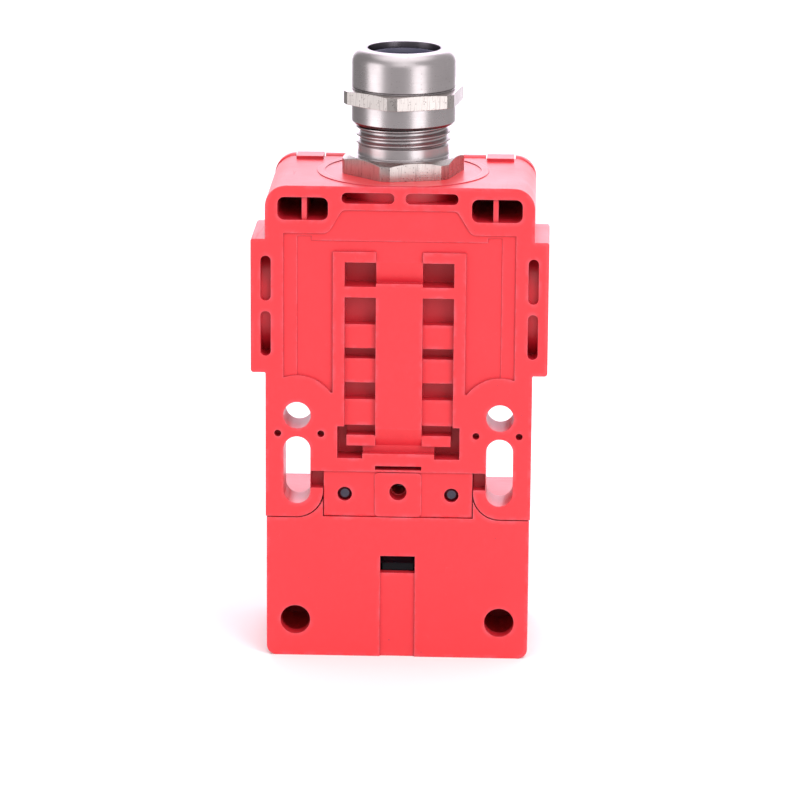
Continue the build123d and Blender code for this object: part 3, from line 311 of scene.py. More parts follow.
# A metal: turned rings across its axis, fine specks, scratches and brighter worn edges.
def metalMaterial(name, look):
    masks, turning = metalMasks, look["rings"]
    material, tree, shader, place, surface = startFinish(name, look)
    tone = remap(tree, surface.outputs["Tone"], *masks["tone"])
    squeezed = addNode(tree, "ShaderNodeMapping", None, Vector=place, Scale=turning["squeeze"])
    rings = noise(tree, squeezed.outputs[0], turning["scale"], 3.0, 0.6)
    colour = blendColours(tree, tone, look["colour"], look["second"])
    colour = layer(tree, remap(tree, rings, *masks["rings"]), turning["tone"], colour,
                   turning["colour"])
    colour, rubbed = layMarks(tree, place, look, colour)
    worn = useGroup(tree, edgeWear, Vector=place, Radius=look["edgeRadius"],
                    Breakup=look["edgeBreakup"])
    colour = layer(tree, worn.outputs["Mask"], look["edgeStrength"], colour, look["edgeColour"])
    if look["flats"]:
        colour = platedDetail(tree, place, look, colour)
    tree.links.new(colour, shader.inputs["Base Color"])
    rough = remap(tree, surface.outputs["Tone"], *masks["tone"], *look["roughness"])
    rough = calc(tree, "ADD", rough, calc(tree, "MULTIPLY", rings, turning["rough"]))
    height = calc(tree, "ADD", calc(tree, "MULTIPLY", rings, turning["height"]),
                  calc(tree, "MULTIPLY", surface.outputs["Height"], look["grainHeight"]))
    groove = calc(tree, "MULTIPLY", rubbed, masks["scratchDepth"])
    finishSurface(tree, shader, look, rough, calc(tree, "SUBTRACT", height, groove),
                  worn.outputs["Normal"])
    shader.inputs["Metallic"].default_value = 1.0
    return material


noScratch = {"scale": 30.0, "stretch": 30.0, "turn": 0.4, "width": 0.01, "strength": 0.0,
             "colour": (0.5, 0.5, 0.5, 1)}

redLook = {
    "colour": (0.80, 0.036, 0.046, 1), "second": (0.73, 0.030, 0.039, 1),
    "fine": 4200.0, "broad": 900.0, "patch": 45.0, "bump": 0.25, "depth": 0.00006,
    "roughness": (0.30, 0.42),
    "specks": [
        {"scale": 620.0, "size": 0.13, "share": 0.05, "strength": 0.5,
         "colour": (0.20, 0.03, 0.06, 1)}],
    "scratch": {"scale": 9.0, "stretch": 60.0, "turn": 0.5, "width": 0.006, "strength": 0.10,
                "colour": (0.95, 0.20, 0.22, 1)},
    # crevice paints shade: a darker red where the surface is occluded; its dirt entries are random
    # dirt patches.
    "crevice": {"reach": 0.006, "strength": 0.8, "colour": (0.50, 0.010, 0.025, 1),
                "dirtScale": 55.0, "dirtStrength": 0.10, "dirtColour": (0.50, 0.06, 0.09, 1)},
    "mottle": 0.5, "specular": 0.5,
    "rim": {"reach": 0.0009, "scale": 300.0, "strength": 0.42, "colour": (0.58, 0.115, 0.15, 1)},
    "edgeRadius": 0.0003, "edgeBreakup": 420.0, "edgeStrength": 0.6,
    "edgeColour": (0.72, 0.20, 0.25, 1)}

nickelLook = {
    "colour": (0.65, 0.60, 0.605, 1), "second": (0.57, 0.525, 0.53, 1),
    "fine": 5200.0, "broad": 1600.0, "patch": 160.0, "bump": 0.35, "depth": 0.00002,
    "grainHeight": 0.7, "roughness": (0.22, 0.32),
    "rings": {"squeeze": (0.02, 0.02, 1.0), "scale": 5200.0, "tone": 0.30, "rough": 0.06,
              "height": 0.8, "colour": (0.50, 0.45, 0.45, 1)},
    "specks": [{"scale": 1900.0, "size": 0.42, "share": 0.22, "strength": 0.3,
                "colour": (0.26, 0.21, 0.22, 1)}],
    "scratch": {"scale": 40.0, "stretch": 40.0, "turn": 0.9, "width": 0.014, "strength": 0.3,
                "colour": (0.85, 0.82, 0.80, 1)},
    # crevice paints shade in recesses and on faces that look down; bore paints shade inside the
    # opening.
    "crevice": {"reach": 0.006, "strength": 0.9, "colour": (0.055, 0.048, 0.053, 1),
                "under": (-0.3, -0.6), "from": (0.0093, 0.0097), "underShadeShare": 0.5},
    "bore": {"radius": (0.0080, 0.0073), "strength": 0.88, "colour": (0.09, 0.08, 0.10, 1)},
    "flats": {"radius": (0.01050, 0.01072), "scale": 2600.0, "size": 0.5, "share": 0.5,
              "strength": 0.75, "colour": (0.20, 0.16, 0.16, 1), "squeeze": (1.0, 1.0, 0.06),
              "lineScale": 4200.0, "lineStrength": 0.45, "tint": (0.60, 0.555, 0.53, 1)},
    "edgeRadius": 0.00012, "edgeBreakup": 1600.0, "edgeStrength": 0.5,
    "edgeColour": (0.80, 0.77, 0.76, 1)}

steelLook = dict(nickelLook, flats=None, colour=(0.34, 0.34, 0.335, 1),
                 second=(0.25, 0.25, 0.25, 1), roughness=(0.3, 0.42), edgeRadius=0.00008,
                 edgeColour=(0.5, 0.5, 0.49, 1),
                 rings=dict(nickelLook["rings"], tone=0.2, colour=(0.36, 0.35, 0.34, 1)),
                 scratch=dict(nickelLook["scratch"], colour=(0.5, 0.49, 0.48, 1)))
darkSteelLook = dict(nickelLook, flats=None, colour=(0.17, 0.16, 0.21, 1),
                     second=(0.11, 0.10, 0.14, 1), roughness=(0.3, 0.42), edgeRadius=0.00008,
                     edgeColour=(0.3, 0.26, 0.28, 1),
                     rings=dict(nickelLook["rings"], tone=0.15, colour=(0.2, 0.17, 0.19, 1)))
brassLook = dict(nickelLook, flats=None, colour=(0.62, 0.42, 0.16, 1),
                 second=(0.50, 0.32, 0.11, 1), edgeRadius=0.00008,
                 edgeColour=(0.75, 0.60, 0.34, 1),
                 rings=dict(nickelLook["rings"], tone=0.2, colour=(0.68, 0.5, 0.22, 1)))

plainPlastic = {
    "fine": 3800.0, "broad": 800.0, "patch": 90.0, "bump": 0.2, "depth": 0.00005,
    "mottle": 0.3, "specular": 0.5, "specks": [],
    "roughness": (0.34, 0.46), "scratch": noScratch, "edgeRadius": 0.00015,
    "edgeBreakup": 900.0, "edgeStrength": 0.35}
blackLook = dict(plainPlastic, colour=(0.004, 0.004, 0.007, 1), second=(0.006, 0.005, 0.009, 1),
                 edgeColour=(0.02, 0.02, 0.03, 1), roughness=(0.08, 0.16), specular=0.25)
blockLook = dict(plainPlastic, colour=(0.035, 0.036, 0.038, 1), second=(0.05, 0.05, 0.054, 1),
                 edgeColour=(0.16, 0.16, 0.17, 1))
coverLook = dict(plainPlastic, colour=(0.55, 0.53, 0.47, 1), second=(0.50, 0.47, 0.41, 1),
                 edgeColour=(0.7, 0.68, 0.62, 1))
naturalLook = dict(plainPlastic, colour=(0.66, 0.62, 0.52, 1), second=(0.58, 0.54, 0.44, 1),
                   edgeColour=(0.8, 0.77, 0.68, 1))
rubberLook = dict(plainPlastic, colour=(0.016, 0.016, 0.018, 1), second=(0.028, 0.027, 0.03, 1),
                  edgeColour=(0.07, 0.07, 0.08, 1), roughness=(0.55, 0.7), bump=0.4)
navyLook = dict(rubberLook, colour=(0.008, 0.008, 0.030, 1), second=(0.014, 0.013, 0.045, 1),
                edgeColour=(0.06, 0.06, 0.12, 1), roughness=(0.34, 0.46))

finishes = {
    "red_plastic": mouldedMaterial("redPlastic", redLook),
    "nickel_plate": metalMaterial("nickelPlate", nickelLook),
    "steel": metalMaterial("zincSteel", steelLook),
    "dark_steel": metalMaterial("darkSteel", darkSteelLook),
    "contact_brass": metalMaterial("contactBrass", brassLook),
    "black_plastic": mouldedMaterial("glossyBlack", blackLook),
    "block_plastic": mouldedMaterial("blockPlastic", blockLook),
    "cover_plastic": mouldedMaterial("coverPlastic", coverLook),
    "natural_plastic": mouldedMaterial("naturalPlastic", naturalLook),
    "black_rubber": mouldedMaterial("blackRubber", rubberLook),
    "navy_rubber": mouldedMaterial("navyRubber", navyLook),
}
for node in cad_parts.values():
    for slot in node.material_slots:
        slot.material = finishes[slot.material.name.split(".")[0]]
print("finishes placed")


# The order of coordinates that lays a piece's own axis along z, y or x.
def layAlong(along, across, over, height):
    return {"z": (across, over, height), "y": (across, height, over),
            "x": (height, across, over)}[along]


# Rings of a profile: each row is a radius and a height in millimetres, one number or one for
# each column, turned about an axis through the centre: across and over are the centre plus the
# radius times the angle's cosine and sine.
def turned(profile, angles, centre=(0.0, 0.0), along="z"):
    radii = np.array([np.broadcast_to(radius, angles.shape) for radius, height in profile])
    heights = np.array([np.broadcast_to(height, angles.shape) for radius, height in profile])
    across, over = centre[0] + radii * np.cos(angles), centre[1] + radii * np.sin(angles)
    return np.stack(layAlong(along, across, over, heights), axis=-1) * millimetre


def evenAngles(count):
    return np.linspace(0.0, 2 * math.pi, count, endpoint=False)


# A quarter round in a profile: radius and height go round a centre from one angle to another.
def arcRows(radius, height, size, first, last, count):
    return [(radius + size * math.cos(turn), height + size * math.sin(turn))
            for turn in np.radians(np.linspace(first, last, count))]


# A ridge that climbs as a helix: height grows with the angle by the pitch for each turn, and the
# trapezoid that goes along it has its corners at core and crest and shrinks away at each end.
def helixRidge(look, centre=(0.0, 0.0), along="z"):
    turns = (look["high"] - look["low"]) / look["pitch"]
    travel = np.linspace(0.0, 1.0, int(turns * look["steps"]) + 1)[:, None]
    angle = 2 * math.pi * turns * travel + math.radians(look.get("start", 0.0))
    full = np.clip(np.minimum(travel, 1 - travel) * turns / look["fade"], 0.0, 1.0)
    full = full * full * (3 - 2 * full)
    sides = np.array([-0.5, -0.5, 0.5, 0.5])
    out = np.array([0.0, 1.0, 1.0, 0.0])
    width = np.array([look["base"], look["tip"], look["tip"], look["base"]])
    radius = look["core"] + (look["crest"] - look["core"]) * out * full
    height = look["low"] + (look["high"] - look["low"]) * travel + sides * width * full
    across, over = centre[0] + radius * np.cos(angle), centre[1] + radius * np.sin(angle)
    order = layAlong(along, across, over, height)
    return np.stack(np.broadcast_arrays(*order), axis=-1) * millimetre


# One mesh of several shells. A shell is rows by columns of points: its columns close round, and
# its rows too, unless its first row is a single point. Points that meet are made one, and edges
# steeper than the sharp angle, in degrees, stay crisp.
def buildPiece(name, shells, body, slotName, replaced=(), sharp=24.0):
    points, faces, count = [], [], 0
    for shell in shells:
        rows, columns = shell.shape[:2]
        index = count + np.arange(rows * columns).reshape(rows, columns)
        if np.ptp(shell[0], axis=0).max() > touching:
            index = np.vstack([index, index[:1]])
        beside = np.roll(index, -1, axis=1)
        quads = np.stack([index[:-1], beside[:-1], beside[1:], index[1:]], axis=-1)
        faces.append(quads.reshape(-1, 4))
        points.append(shell.reshape(-1, 3))
        count += rows * columns
    mesh = bpy.data.meshes.new(name)
    mesh.from_pydata(np.concatenate(points).tolist(), [], np.concatenate(faces).tolist())
    work = bmesh.new()
    work.from_mesh(mesh)
    bmesh.ops.remove_doubles(work, verts=work.verts, dist=touching)
    bmesh.ops.recalc_face_normals(work, faces=work.faces)
    work.to_mesh(mesh)
    work.free()
    mesh.shade_smooth()
    mesh.set_sharp_from_angle(angle=math.radians(sharp))
    mesh.materials.append(finishes[slotName])
    piece = bpy.data.objects.new(name, mesh)
    bpy.context.scene.collection.objects.link(piece)
    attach(piece, body)
    if replaced:
        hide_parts(*replaced)
    return piece


def heightsOf(node):
    low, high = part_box(node)
    return low[2] / millimetre, high[2] / millimetre


# Radius of a hexagon at each angle: the flat's distance over the cosine of the angle from the
# flat's middle, and never more than the turned-off corner.
def hexRadius(look, angles):
    corner = math.radians(look["turn"] - 90)
    fromFlat = (angles - corner) % (math.pi / 3) - math.pi / 6
    return np.minimum(look["flats"] / 2 / np.cos(fromFlat), look["corner"])


def hexAngles(look):
    half = math.acos(look["flats"] / 2 / look["corner"])
    middles = math.radians(look["turn"] - 60) + np.arange(6) * math.pi / 3
    breaks = np.concatenate([middles - half, middles + half]) % (2 * math.pi)
    return np.unique(np.concatenate([evenAngles(look["columns"]), breaks]).round(7))


# Rows of a hexagon band whose ends are turned off as a cone round a flat ring.
def hexRows(look, angles, low, high):
    radius = hexRadius(look, angles)
    rise, drop = ((radius - look["face"]) * math.tan(math.radians(look[key]))
                  for key in ("lowChamfer", "chamfer"))
    start = [(look["face"], low), (radius, low + rise)] if look["lowChamfer"] else [(radius, low)]
    return start + [(radius, high - drop), (look["face"], high)]


domeNutLook = {
    "flats": 22.0, "corner": 12.15, "face": 10.8, "chamfer": 11.0, "lowChamfer": 6.0,
    "turn": -8.8, "columns": 240, "skirt": 10.3, "skirtChamfer": 0.55, "skirtHeight": 4.1,
    "hexHeight": 2.9, "dome": 10.25, "shoulder": 2.8, "shoulderRows": 16, "opening": 7.15,
    "openingRows": 4, "lip": 3.0, "inner": 9.1, "thread": 9.46, "threadEnd": 0.4, "edge": 0.12,
    "neckIn": 0.14}


def domeNut(look):
    low, high = heightsOf("gland_nut")
    hexLow = low + look["skirtHeight"]
    hexHigh = hexLow + look["hexHeight"]
    angles = hexAngles(look)
    edge, dome, lipLow = look["edge"], look["dome"], high - look["lip"]
    profile = [(look["thread"], low + edge), (look["thread"] + edge, low),
               (look["skirt"] - look["skirtChamfer"] + edge, low)]
    profile += [(look["skirt"], low + look["skirtChamfer"]), (look["skirt"], hexLow - edge),
                (look["skirt"] - look["neckIn"], hexLow)]
    profile += hexRows(look, angles, hexLow, hexHigh)
    profile += [(dome, hexHigh), (dome - look["neckIn"], hexHigh + edge),
                (dome, hexHigh + 3 * edge)]
    profile += arcRows(dome - look["shoulder"], high - look["shoulder"], look["shoulder"],
                       0.0, 90.0, look["shoulderRows"])
    profile += arcRows(look["opening"] + edge, high - edge, edge, 90.0, 180.0,
                       look["openingRows"])
    profile += [(look["opening"], lipLow + edge), (look["opening"] + edge, lipLow),
                (look["inner"], lipLow), (look["inner"], hexHigh),
                (look["thread"], hexHigh - look["threadEnd"])]
    return buildPiece("dome_nut_shell", [turned(profile, angles)], "dome_nut", "nickel_plate",
                      ["gland_nut"])


# The outer thread's crests pass the front at crestHeight, and every pitch above and below it.
glandLook = {
    "flats": 22.0, "corner": 12.15, "face": 10.8, "chamfer": 29.0, "lowChamfer": 0.0,
    "turn": -15.3, "columns": 240,
    "caseBite": 10.6, "ring": 1.4, "hexHeight": 3.6, "neck": 9.0, "neckHeight": 2.2,
    "core": 8.65, "seat": 7.2, "seatDepth": 6.0, "bore": 6.6, "edge": 0.15, "caseCore": 9.05,
    "crestHeight": 103.53, "threadStart": -0.1, "threadEnd": 0.5, "caseThreadStart": 0.9,
    "caseThreadEnd": 1.0,
    "thread": {"pitch": 1.5, "core": 8.6, "crest": 9.4, "base": 1.2, "tip": 0.2, "fade": 0.22,
               "steps": 96},
    "caseThread": {"pitch": 1.5, "core": 9.0, "crest": 9.93, "base": 1.3, "tip": 0.2,
                   "fade": 0.3, "steps": 96}}


def glandTube(look):
    low, high = heightsOf("gland_body")
    caseTop = low + look["caseBite"]
    hexHigh = caseTop + look["hexHeight"]
    neckHigh = hexHigh + look["neckHeight"]
    edge, neck, core, caseCore = look["edge"], look["neck"], look["core"], look["caseCore"]
    angles = hexAngles(look)
    profile = [(look["bore"] + edge, low), (caseCore - 3 * edge, low), (caseCore, low + 3 * edge),
               (caseCore, caseTop - look["ring"] - edge), (neck, caseTop - look["ring"]),
               (neck, caseTop)]
    profile += hexRows(look, angles, caseTop, hexHigh)
    profile += [(neck + edge, hexHigh), (neck, hexHigh + edge), (neck, neckHigh - edge),
                (core, neckHigh + edge), (core, high - 3 * edge), (core - 3 * edge, high),
                (look["seat"] + edge, high), (look["seat"], high - edge),
                (look["seat"], high - look["seatDepth"]), (look["bore"], high - look["seatDepth"]),
                (look["bore"], low + edge)]
    ridgeLow = neckHigh + look["threadStart"]
    frontDegrees = -90.0
    start = frontDegrees + 360.0 * (ridgeLow - look["crestHeight"]) / look["thread"]["pitch"]
    outer = dict(look["thread"], low=ridgeLow, high=high - look["threadEnd"], start=start)
    inner = dict(look["caseThread"], low=low + look["caseThreadStart"],
                 high=caseTop - look["ring"] - look["caseThreadEnd"])
    shells = [turned(profile, angles), helixRidge(outer), helixRidge(inner)]
    return buildPiece("gland_tube", shells, "switch_body", "nickel_plate", ["gland_body"])


# The seal's rim stands just under the nut's edge and slopes down to the hole for the cable. Each
# row is a radius and a depth under the nut's top.
sealLook = {
    "outer": 7.1, "bore": 5.0, "edge": 0.2, "columns": 144, "sharp": 50.0,
    "rows": [(7.1, 3.8), (6.95, 3.75), (6.95, 1.5), (6.83, 1.25), (6.45, 1.14), (6.1, 1.12),
             (5.8, 1.22), (5.15, 1.78), (5.0, 1.9)]}


def glandSeal(look):
    low, high = heightsOf("gland_seal")
    nutTop = heightsOf("gland_nut")[1]
    bore, outer, edge = look["bore"], look["outer"], look["edge"]
    profile = [(bore + edge, low), (outer - edge, low), (outer, low + edge)]
    profile += [(radius, nutTop - depth) for radius, depth in look["rows"]]
    profile += [(bore, low + edge)]
    return buildPiece("dished_seal", [turned(profile, evenAngles(look["columns"]))],
                      "switch_body", "navy_rubber", ["gland_seal"], look["sharp"])


domeNut(domeNutLook)
glandTube(glandLook)
glandSeal(sealLook)
print("gland turned")


# The size of a number, but never 0, so that it can divide.
def sizeOf(values):
    return np.maximum(np.abs(values), 1e-6)


# Outline of a screw's recess at each angle: a cross is the nearer of an arm's end and an arm's
# side, a star swings between two radii once for each lobe, and both joins a cross and a slot.
def recessRadius(look, angles):
    if look["drive"] == "star":
        return look["arm"] * (1 - look["lobeDepth"] * (1 - np.cos(look["lobes"] * angles)))
    fromArm = (angles + math.pi / 4) % (math.pi / 2) - math.pi / 4
    radius = np.minimum(look["arm"] / np.cos(fromArm),
                        look["armWidth"] / 2 / sizeOf(np.sin(fromArm)))
    if look["drive"] == "both":
        slotSide = look["slotWidth"] / 2 / sizeOf(np.sin(angles))
        slotEnd = look["slotArm"] / sizeOf(np.cos(angles))
        radius = np.maximum(radius, np.minimum(slotEnd, slotSide))
    return radius


# The small breaks that all the screws have, in millimetres. Each next screw of a set stands turned
# by turnOn times its set's turn more.
screwEdges = {"under": 0.15, "underRise": 0.12, "fillet": 0.1, "rounding": 6,
              "sunkEdge": (0.05, 0.06), "sunkFace": 0.1, "recessEdge": (0.06, 0.08),
              "recessNarrowing": 0.82, "recessPoint": 0.3, "turnOn": 1.7}


# A screw along Y as rings: tip, shank, head and the recess sunk in the head. Depths are taken
# from the head's face, which looks towards +Y.
def screwShell(look, x, z, turn):
    edges = screwEdges
    angles = evenAngles(look["columns"]) + math.radians(turn)
    recess = recessRadius(look, evenAngles(look["columns"]))
    head, shank, length = look["head"], look["shank"], look["length"]
    depths = [(0.0, length), (look["tip"], length), (shank, length - look["taper"])]
    if look["sunk"]:
        depths += [(shank, head - shank),
                   (head - edges["sunkEdge"][0], edges["sunkEdge"][1]),
                   (head - edges["sunkFace"], 0.0)]
    else:
        under, rim = look["headHeight"], look["round"]
        depths += [(shank, under + edges["fillet"]), (shank + edges["fillet"], under),
                   (head - edges["under"], under), (head, under - edges["underRise"])]
        depths += [(head - rim + rim * math.cos(step), rim - rim * math.sin(step))
                   for step in np.radians(np.linspace(0, 90, edges["rounding"]))]
    deep = look["recessDepth"]
    depths += [(recess + edges["recessEdge"][0], 0.0), (recess, edges["recessEdge"][1]),
               (recess * edges["recessNarrowing"], deep), (0.0, deep + edges["recessPoint"])]
    return turned([(radius, look["faceY"] - depth) for radius, depth in depths], angles, (x, z),
                  "y")


# A thin point under the shank: rings that end in a blunt cone.
def pointShell(look, x, z):
    point = look["point"]
    start, end = look["length"] - point["bite"], look["length"] + point["length"]
    depths = [(0.0, start), (point["core"], start), (point["core"], end - point["cone"]),
              (point["core"] * point["blunt"], end), (0.0, end)]
    return turned([(radius, look["faceY"] - depth) for radius, depth in depths],
                  evenAngles(look["columns"]), (x, z), "y")


lidScrewLook = {
    "node": "lid_screws", "body": "lid_assembly", "finish": "steel", "faceY": 16.3,
    "places": [(10.0, 44.5), (-10.0, 44.5)], "columns": 96, "head": 2.6,
    "headHeight": 1.5, "round": 0.5, "shank": 1.46, "length": 6.5, "tip": 1.0, "taper": 0.3,
    "sunk": False, "drive": "cross", "arm": 1.35, "armWidth": 0.6, "recessDepth": 0.9,
    "turn": 12.0, "point": {"core": 0.86, "length": 2.6, "bite": 0.2, "cone": 0.6,
                             "blunt": 0.4}}
plateScrewLook = {
    "node": "faceplate_screws", "body": "switch_body", "finish": "steel", "faceY": 16.45,
    "places": [(20.3, 7.4), (-20.3, 7.4), (20.3, 22.5), (-20.3, 22.5)], "columns": 96,
    "head": 2.8, "shank": 1.3, "length": 11.6, "tip": 0.9, "taper": 1.2, "sunk": True,
    "drive": "star", "arm": 1.4, "lobes": 6, "lobeDepth": 0.13, "recessDepth": 0.9, "turn": 20.0,
    "thread": {"core": 1.28, "crest": 1.49, "pitch": 0.9, "base": 0.7, "tip": 0.12,
               "fade": 0.4, "fromFace": (2.4, 10.6)}}
blockScrewLook = {
    "node": "contact_block_screws", "body": "switch_body", "finish": "steel", "faceY": -5.5,
    "places": [(15.3, 66.0), (-15.3, 66.0)], "columns": 72, "head": 2.1,
    "headHeight": 1.5, "round": 0.55, "shank": 1.1, "length": 7.6, "tip": 0.6, "taper": 1.2,
    "sunk": False, "drive": "cross", "arm": 1.2, "armWidth": 0.55, "recessDepth": 0.9,
    "turn": 31.0,
    "thread": {"core": 1.08, "crest": 1.24, "pitch": 0.8, "base": 0.6, "tip": 0.1,
               "fade": 0.4, "fromFace": (2.2, 6.6)}}
terminalScrewLook = {
    "node": "terminal_screws", "body": "switch_body", "finish": "steel", "faceY": 1.4,
    "places": [(side * 10.1, z) for side in (1, -1) for z in (54.5, 63.5, 72.5)],
    "columns": 72, "head": 2.4, "headHeight": 1.9, "round": 0.35, "shank": 1.42,
    "length": 8.85, "tip": 1.1, "taper": 0.5, "sunk": False, "drive": "both", "arm": 1.35,
    "armWidth": 0.6, "slotArm": 2.1, "slotWidth": 0.7, "recessDepth": 1.0, "turn": 24.0,
    "thread": {"core": 1.4, "crest": 1.59, "pitch": 0.7, "base": 0.55, "tip": 0.1,
               "fade": 0.4, "fromFace": (2.3, 8.1)}}
headScrewLook = {
    "node": "head_screws", "body": "switch_body", "finish": "dark_steel", "faceY": 9.9,
    "places": [(10.55, 33.5), (-10.55, 33.5)], "columns": 96, "head": 2.8,
    "headHeight": 2.4, "round": 0.6, "shank": 1.26, "length": 25.4, "tip": 0.85, "taper": 0.35,
    "sunk": False, "drive": "cross", "arm": 1.6, "armWidth": 0.7, "recessDepth": 1.3,
    "turn": 8.0,
    "thread": {"core": 1.15, "crest": 1.34, "pitch": 0.9, "base": 0.7, "tip": 0.12,
               "fade": 0.6, "fromFace": (8.0, 24.9)}}


def screwSet(look, sharp=28.0):
    shells = []
    for place, (x, z) in enumerate(look["places"]):
        turn = look["turn"] * (1 + screwEdges["turnOn"] * place)
        shells.append(screwShell(look, x, z, turn))
        if "point" in look:
            shells.append(pointShell(look, x, z))
        if "thread" in look:
            near, far = look["thread"]["fromFace"]
            ridge = dict(look["thread"], low=look["faceY"] - far, high=look["faceY"] - near,
                         steps=36)
            shells.append(helixRidge(ridge, (x, z), "y"))
    return buildPiece(look["node"] + "_cut", shells, look["body"], look["finish"],
                      [look["node"]], sharp)


for look in (lidScrewLook, plateScrewLook, blockScrewLook, terminalScrewLook, headScrewLook):
    screwSet(look)
print("screws cut")


# A coil spring: a round wire goes round an upright axis, its middle rising in a smooth S so that
# the end turns lie flat, and each end closes in a point in the middle of the wire.
def springShell(look, low, high):
    around = evenAngles(look["sides"])[None, :]
    travel = np.linspace(0.0, 1.0, look["steps"])[:, None]
    angle = 2 * math.pi * look["turns"] * travel
    flat = look["flatTurns"] / look["turns"]
    inner = np.clip((travel - flat) / (1 - 2 * flat), 0.0, 1.0)
    inner = look["ease"] * inner * inner * (3 - 2 * inner) + (1 - look["ease"]) * inner
    wire = look["wire"] / 2
    endRise = look["wire"] * look["endLift"]
    ends = np.clip(travel / flat, 0, 1) - np.clip((1 - travel) / flat, 0, 1)
    middle = low + wire + (high - low - 2 * wire) * inner
    middle = middle + endRise * (ends + 1 - 2 * inner)
    middle = np.clip(middle, low + wire, high - wire)
    radius = look["mean"] + wire * np.cos(around)
    x = look["x"] + radius * np.cos(angle)
    y = look["y"] + radius * np.sin(angle)
    z = middle + wire * np.sin(around)
    tube = np.stack(np.broadcast_arrays(x, y, z), axis=-1) * millimetre
    first, last = tube[:1].mean(axis=1, keepdims=True), tube[-1:].mean(axis=1, keepdims=True)
    return np.concatenate([np.repeat(first, look["sides"], axis=1), tube,
                           np.repeat(last, look["sides"], axis=1)])


returnSpringLook = {"x": 0.0, "y": -2.5, "mean": 3.7, "wire": 0.68, "turns": 5.5,
                    "flatTurns": 1.0, "endLift": 0.35, "ease": 0.25, "sides": 16, "steps": 560,
                    "body": "plunger_slide", "finish": "steel", "keep": 0.54}
bridgeSpringLook = {"x": 0.0, "y": 1.0, "mean": 1.2, "wire": 0.28, "turns": 4.5,
                    "flatTurns": 0.9, "endLift": 0.3, "ease": 0.25, "sides": 10, "steps": 260,
                    "body": "plunger_slide", "finish": "steel",
                    "ends": [(49.95, 51.85), (58.95, 60.85), (71.9, 73.8)]}


def coilSprings(sharp=60.0):
    low, high = heightsOf("plunger_spring")
    look = returnSpringLook
    coil = buildPiece("return_coil", [springShell(look, low, high)], look["body"], look["finish"],
                      ["plunger_spring"], sharp)
    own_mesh(coil)
    look = bridgeSpringLook
    buildPiece("bridge_coils", [springShell(look, *ends) for ends in look["ends"]], look["body"],
               look["finish"], ["bridge_springs"], sharp)


# The moulded thread in each side entry: a ridge whose crest stands in from the bore's wall.
entryThreadLook = {"z": 71.55, "near": 24.7, "far": 28.95, "wall": 10.2, "crest": 9.35,
                   "pitch": 1.5, "base": 1.3, "tip": 0.25, "fade": 0.35, "steps": 96,
                   "body": "switch_body", "finish": "red_plastic"}


def entryThreads(look):
    shells = [helixRidge(dict(look, core=look["wall"], low=low, high=high), (0.0, look["z"]), "x")
              for low, high in ((look["near"], look["far"]), (-look["far"], -look["near"]))]
    return buildPiece("entry_threads", shells, look["body"], look["finish"])


coilSprings()
entryThreads(entryThreadLook)
print("springs and entry threads wound")


# The camera stands where the photograph was taken: a long lens, a little right and above.
cameraLook = {"azimuth": 2.07, "elevation": 14.65, "roll": 0.417, "distance": 0.8,
              "target": (0.000289, -0.0165, 0.052966), "focalPixels": 4070.4,
              "framePixels": 800, "sensor": 36.0, "clip": 0.01}


def awayFrom(look):
    azimuth, elevation = math.radians(look["azimuth"]), math.radians(look["elevation"])
    return Vector((math.sin(azimuth) * math.cos(elevation),
                   -math.cos(azimuth) * math.cos(elevation), math.sin(elevation)))


def placeCamera(look):
    roll = math.radians(look["roll"])
    back = awayFrom(look)
    right = Vector((0, 0, 1)).cross(back).normalized()
    up = back.cross(right)
    rolledRight = math.cos(roll) * right + math.sin(roll) * up
    rolledUp = back.cross(rolledRight)
    data = bpy.data.cameras.new("photoCamera")
    data.sensor_fit = "HORIZONTAL"
    data.sensor_width = look["sensor"]
    data.lens = look["focalPixels"] / look["framePixels"] * look["sensor"]
    data.clip_start = look["clip"]
    camera = bpy.data.objects.new("photoCamera", data)
    turn = Matrix((rolledRight, rolledUp, back)).transposed()
    camera.matrix_world = (Matrix.Translation(Vector(look["target"]) + look["distance"] * back)
                           @ turn.to_4x4())
    bpy.context.scene.collection.objects.link(camera)
    bpy.context.scene.camera = camera


# A weak lamp from the front shades the pockets. The rest is the studio round the object, painted
# by direction: a dark front, a bright back and top, and two bright panels left and right that
# the plated parts mirror. Its numbers are sines of height, parts of a circle and strengths.
lampLook = {"azimuth": 38.0, "elevation": 40.0, "distance": 0.7, "aim": (0, 0, 0.06),
            "size": (0.35, 0.35), "power": 2.0}
studioLook = {
    "front": 0.52, "leftDip": 0.20, "leftFrom": -72.0, "leftTo": -102.0,
    "back": 2.8, "backFrom": 146.0, "backTo": 170.0, "backColour": (0.96, 0.86, 1.0, 1),
    "top": 1.75, "topFrom": 0.64, "topTo": 0.97, "diffuseShare": 1.2,
    "colour": (1.0, 0.98, 1.0, 1), "seenColour": (1.0, 1.0, 1.0, 1),
    "panels": [{"azimuth": -64.5, "core": 11.0, "soft": 25.0, "strength": 2.0,
                "from": 0.55, "to": 0.30},
               {"azimuth": 36.5, "core": 9.0, "soft": 23.0, "strength": 2.05,
                "from": 0.55, "to": 0.30},
               {"azimuth": 4.0, "core": 20.0, "soft": 42.0, "strength": 1.35,
                "from": 0.12, "to": 0.45}]}


def placeLamp(look):
    away = awayFrom(look)
    data = bpy.data.lights.new("frontLamp", "AREA")
    data.shape = "RECTANGLE"
    data.size, data.size_y = look["size"]
    data.energy = look["power"]
    lamp = bpy.data.objects.new("frontLamp", data)
    lamp.rotation_euler = away.to_track_quat("Z", "Y").to_euler()
    lamp.location = Vector(look["aim"]) + look["distance"] * away
    lamp.visible_glossy = False
    bpy.context.scene.collection.objects.link(lamp)


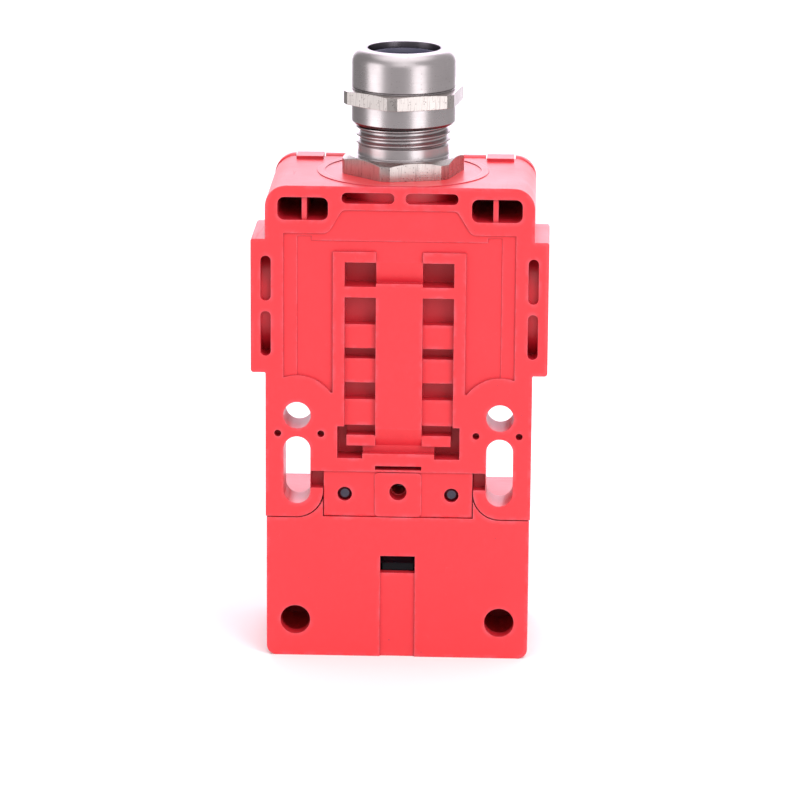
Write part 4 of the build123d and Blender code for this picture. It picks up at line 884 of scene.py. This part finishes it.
def paintStudio(look):
    world = bpy.data.worlds.new("studio")
    world.use_nodes = True
    tree = world.node_tree
    direction = addNode(tree, "ShaderNodeTexCoord").outputs["Generated"]
    parts = addNode(tree, "ShaderNodeSeparateXYZ", None, s0=direction)
    x, y, z = parts.outputs
    azimuth = calc(tree, "ARCTAN2", x, calc(tree, "MULTIPLY", y, -1.0))
    degree = math.pi / 180
    dip = fade(tree, azimuth, look["leftFrom"] * degree, look["leftTo"] * degree)
    level = calc(tree, "SUBTRACT", look["front"], calc(tree, "MULTIPLY", dip, look["leftDip"]))
    behind = fade(tree, calc(tree, "ABSOLUTE", azimuth), look["backFrom"] * degree,
                  look["backTo"] * degree)
    level = calc(tree, "MAXIMUM", level, calc(tree, "MULTIPLY", behind, look["back"]))
    above = fade(tree, z, look["topFrom"], look["topTo"])
    level = calc(tree, "MAXIMUM", level, calc(tree, "MULTIPLY", above, look["top"]))
    for panel in look["panels"]:
        apart = calc(tree, "ABSOLUTE", calc(tree, "SUBTRACT", azimuth, panel["azimuth"] * degree))
        lit = fade(tree, apart, panel["soft"] * degree, panel["core"] * degree)
        lit = calc(tree, "MULTIPLY", lit, fade(tree, z, panel["from"], panel["to"]))
        level = calc(tree, "MAXIMUM", level, calc(tree, "MULTIPLY", lit, panel["strength"]))
    rays = addNode(tree, "ShaderNodeLightPath")
    level = calc(tree, "MULTIPLY", level, calc(tree, "ADD", 1.0, calc(
        tree, "MULTIPLY", rays.outputs["Is Diffuse Ray"], look["diffuseShare"] - 1.0)))
    seen = rays.outputs["Is Camera Ray"]
    level = calc(tree, "ADD", calc(tree, "MULTIPLY", level, calc(tree, "SUBTRACT", 1.0, seen)),
                 seen)
    tree.links.new(level, tree.nodes["Background"].inputs["Strength"])
    tint = blendColours(tree, behind, look["colour"], look["backColour"])
    tint = blendColours(tree, seen, tint, look["seenColour"])
    tree.links.new(tint, tree.nodes["Background"].inputs["Color"])
    bpy.context.scene.world = world


floorLook = dict(plainPlastic, half=3.0, colour=(0.93, 0.93, 0.93, 1),
                 second=(0.90, 0.90, 0.90, 1), edgeColour=(0.93, 0.93, 0.93, 1), patch=3.0,
                 bump=0.02, edgeStrength=0.0, roughness=(0.8, 0.9))


def placeFloor(look):
    half = look["half"]
    mesh = bpy.data.meshes.new("floor")
    mesh.from_pydata([(-half, -half, 0), (half, -half, 0), (half, half, 0), (-half, half, 0)],
                     [], [(0, 1, 2, 3)])
    mesh.materials.append(mouldedMaterial("paleFloor", look))
    floor = bpy.data.objects.new("floor", mesh)
    bpy.context.scene.collection.objects.link(floor)
    floor.visible_glossy = False


placeCamera(cameraLook)
placeLamp(lampLook)
paintStudio(studioLook)
placeFloor(floorLook)
bpy.context.scene.view_settings.view_transform = "Standard"
print("camera, lights and floor placed")
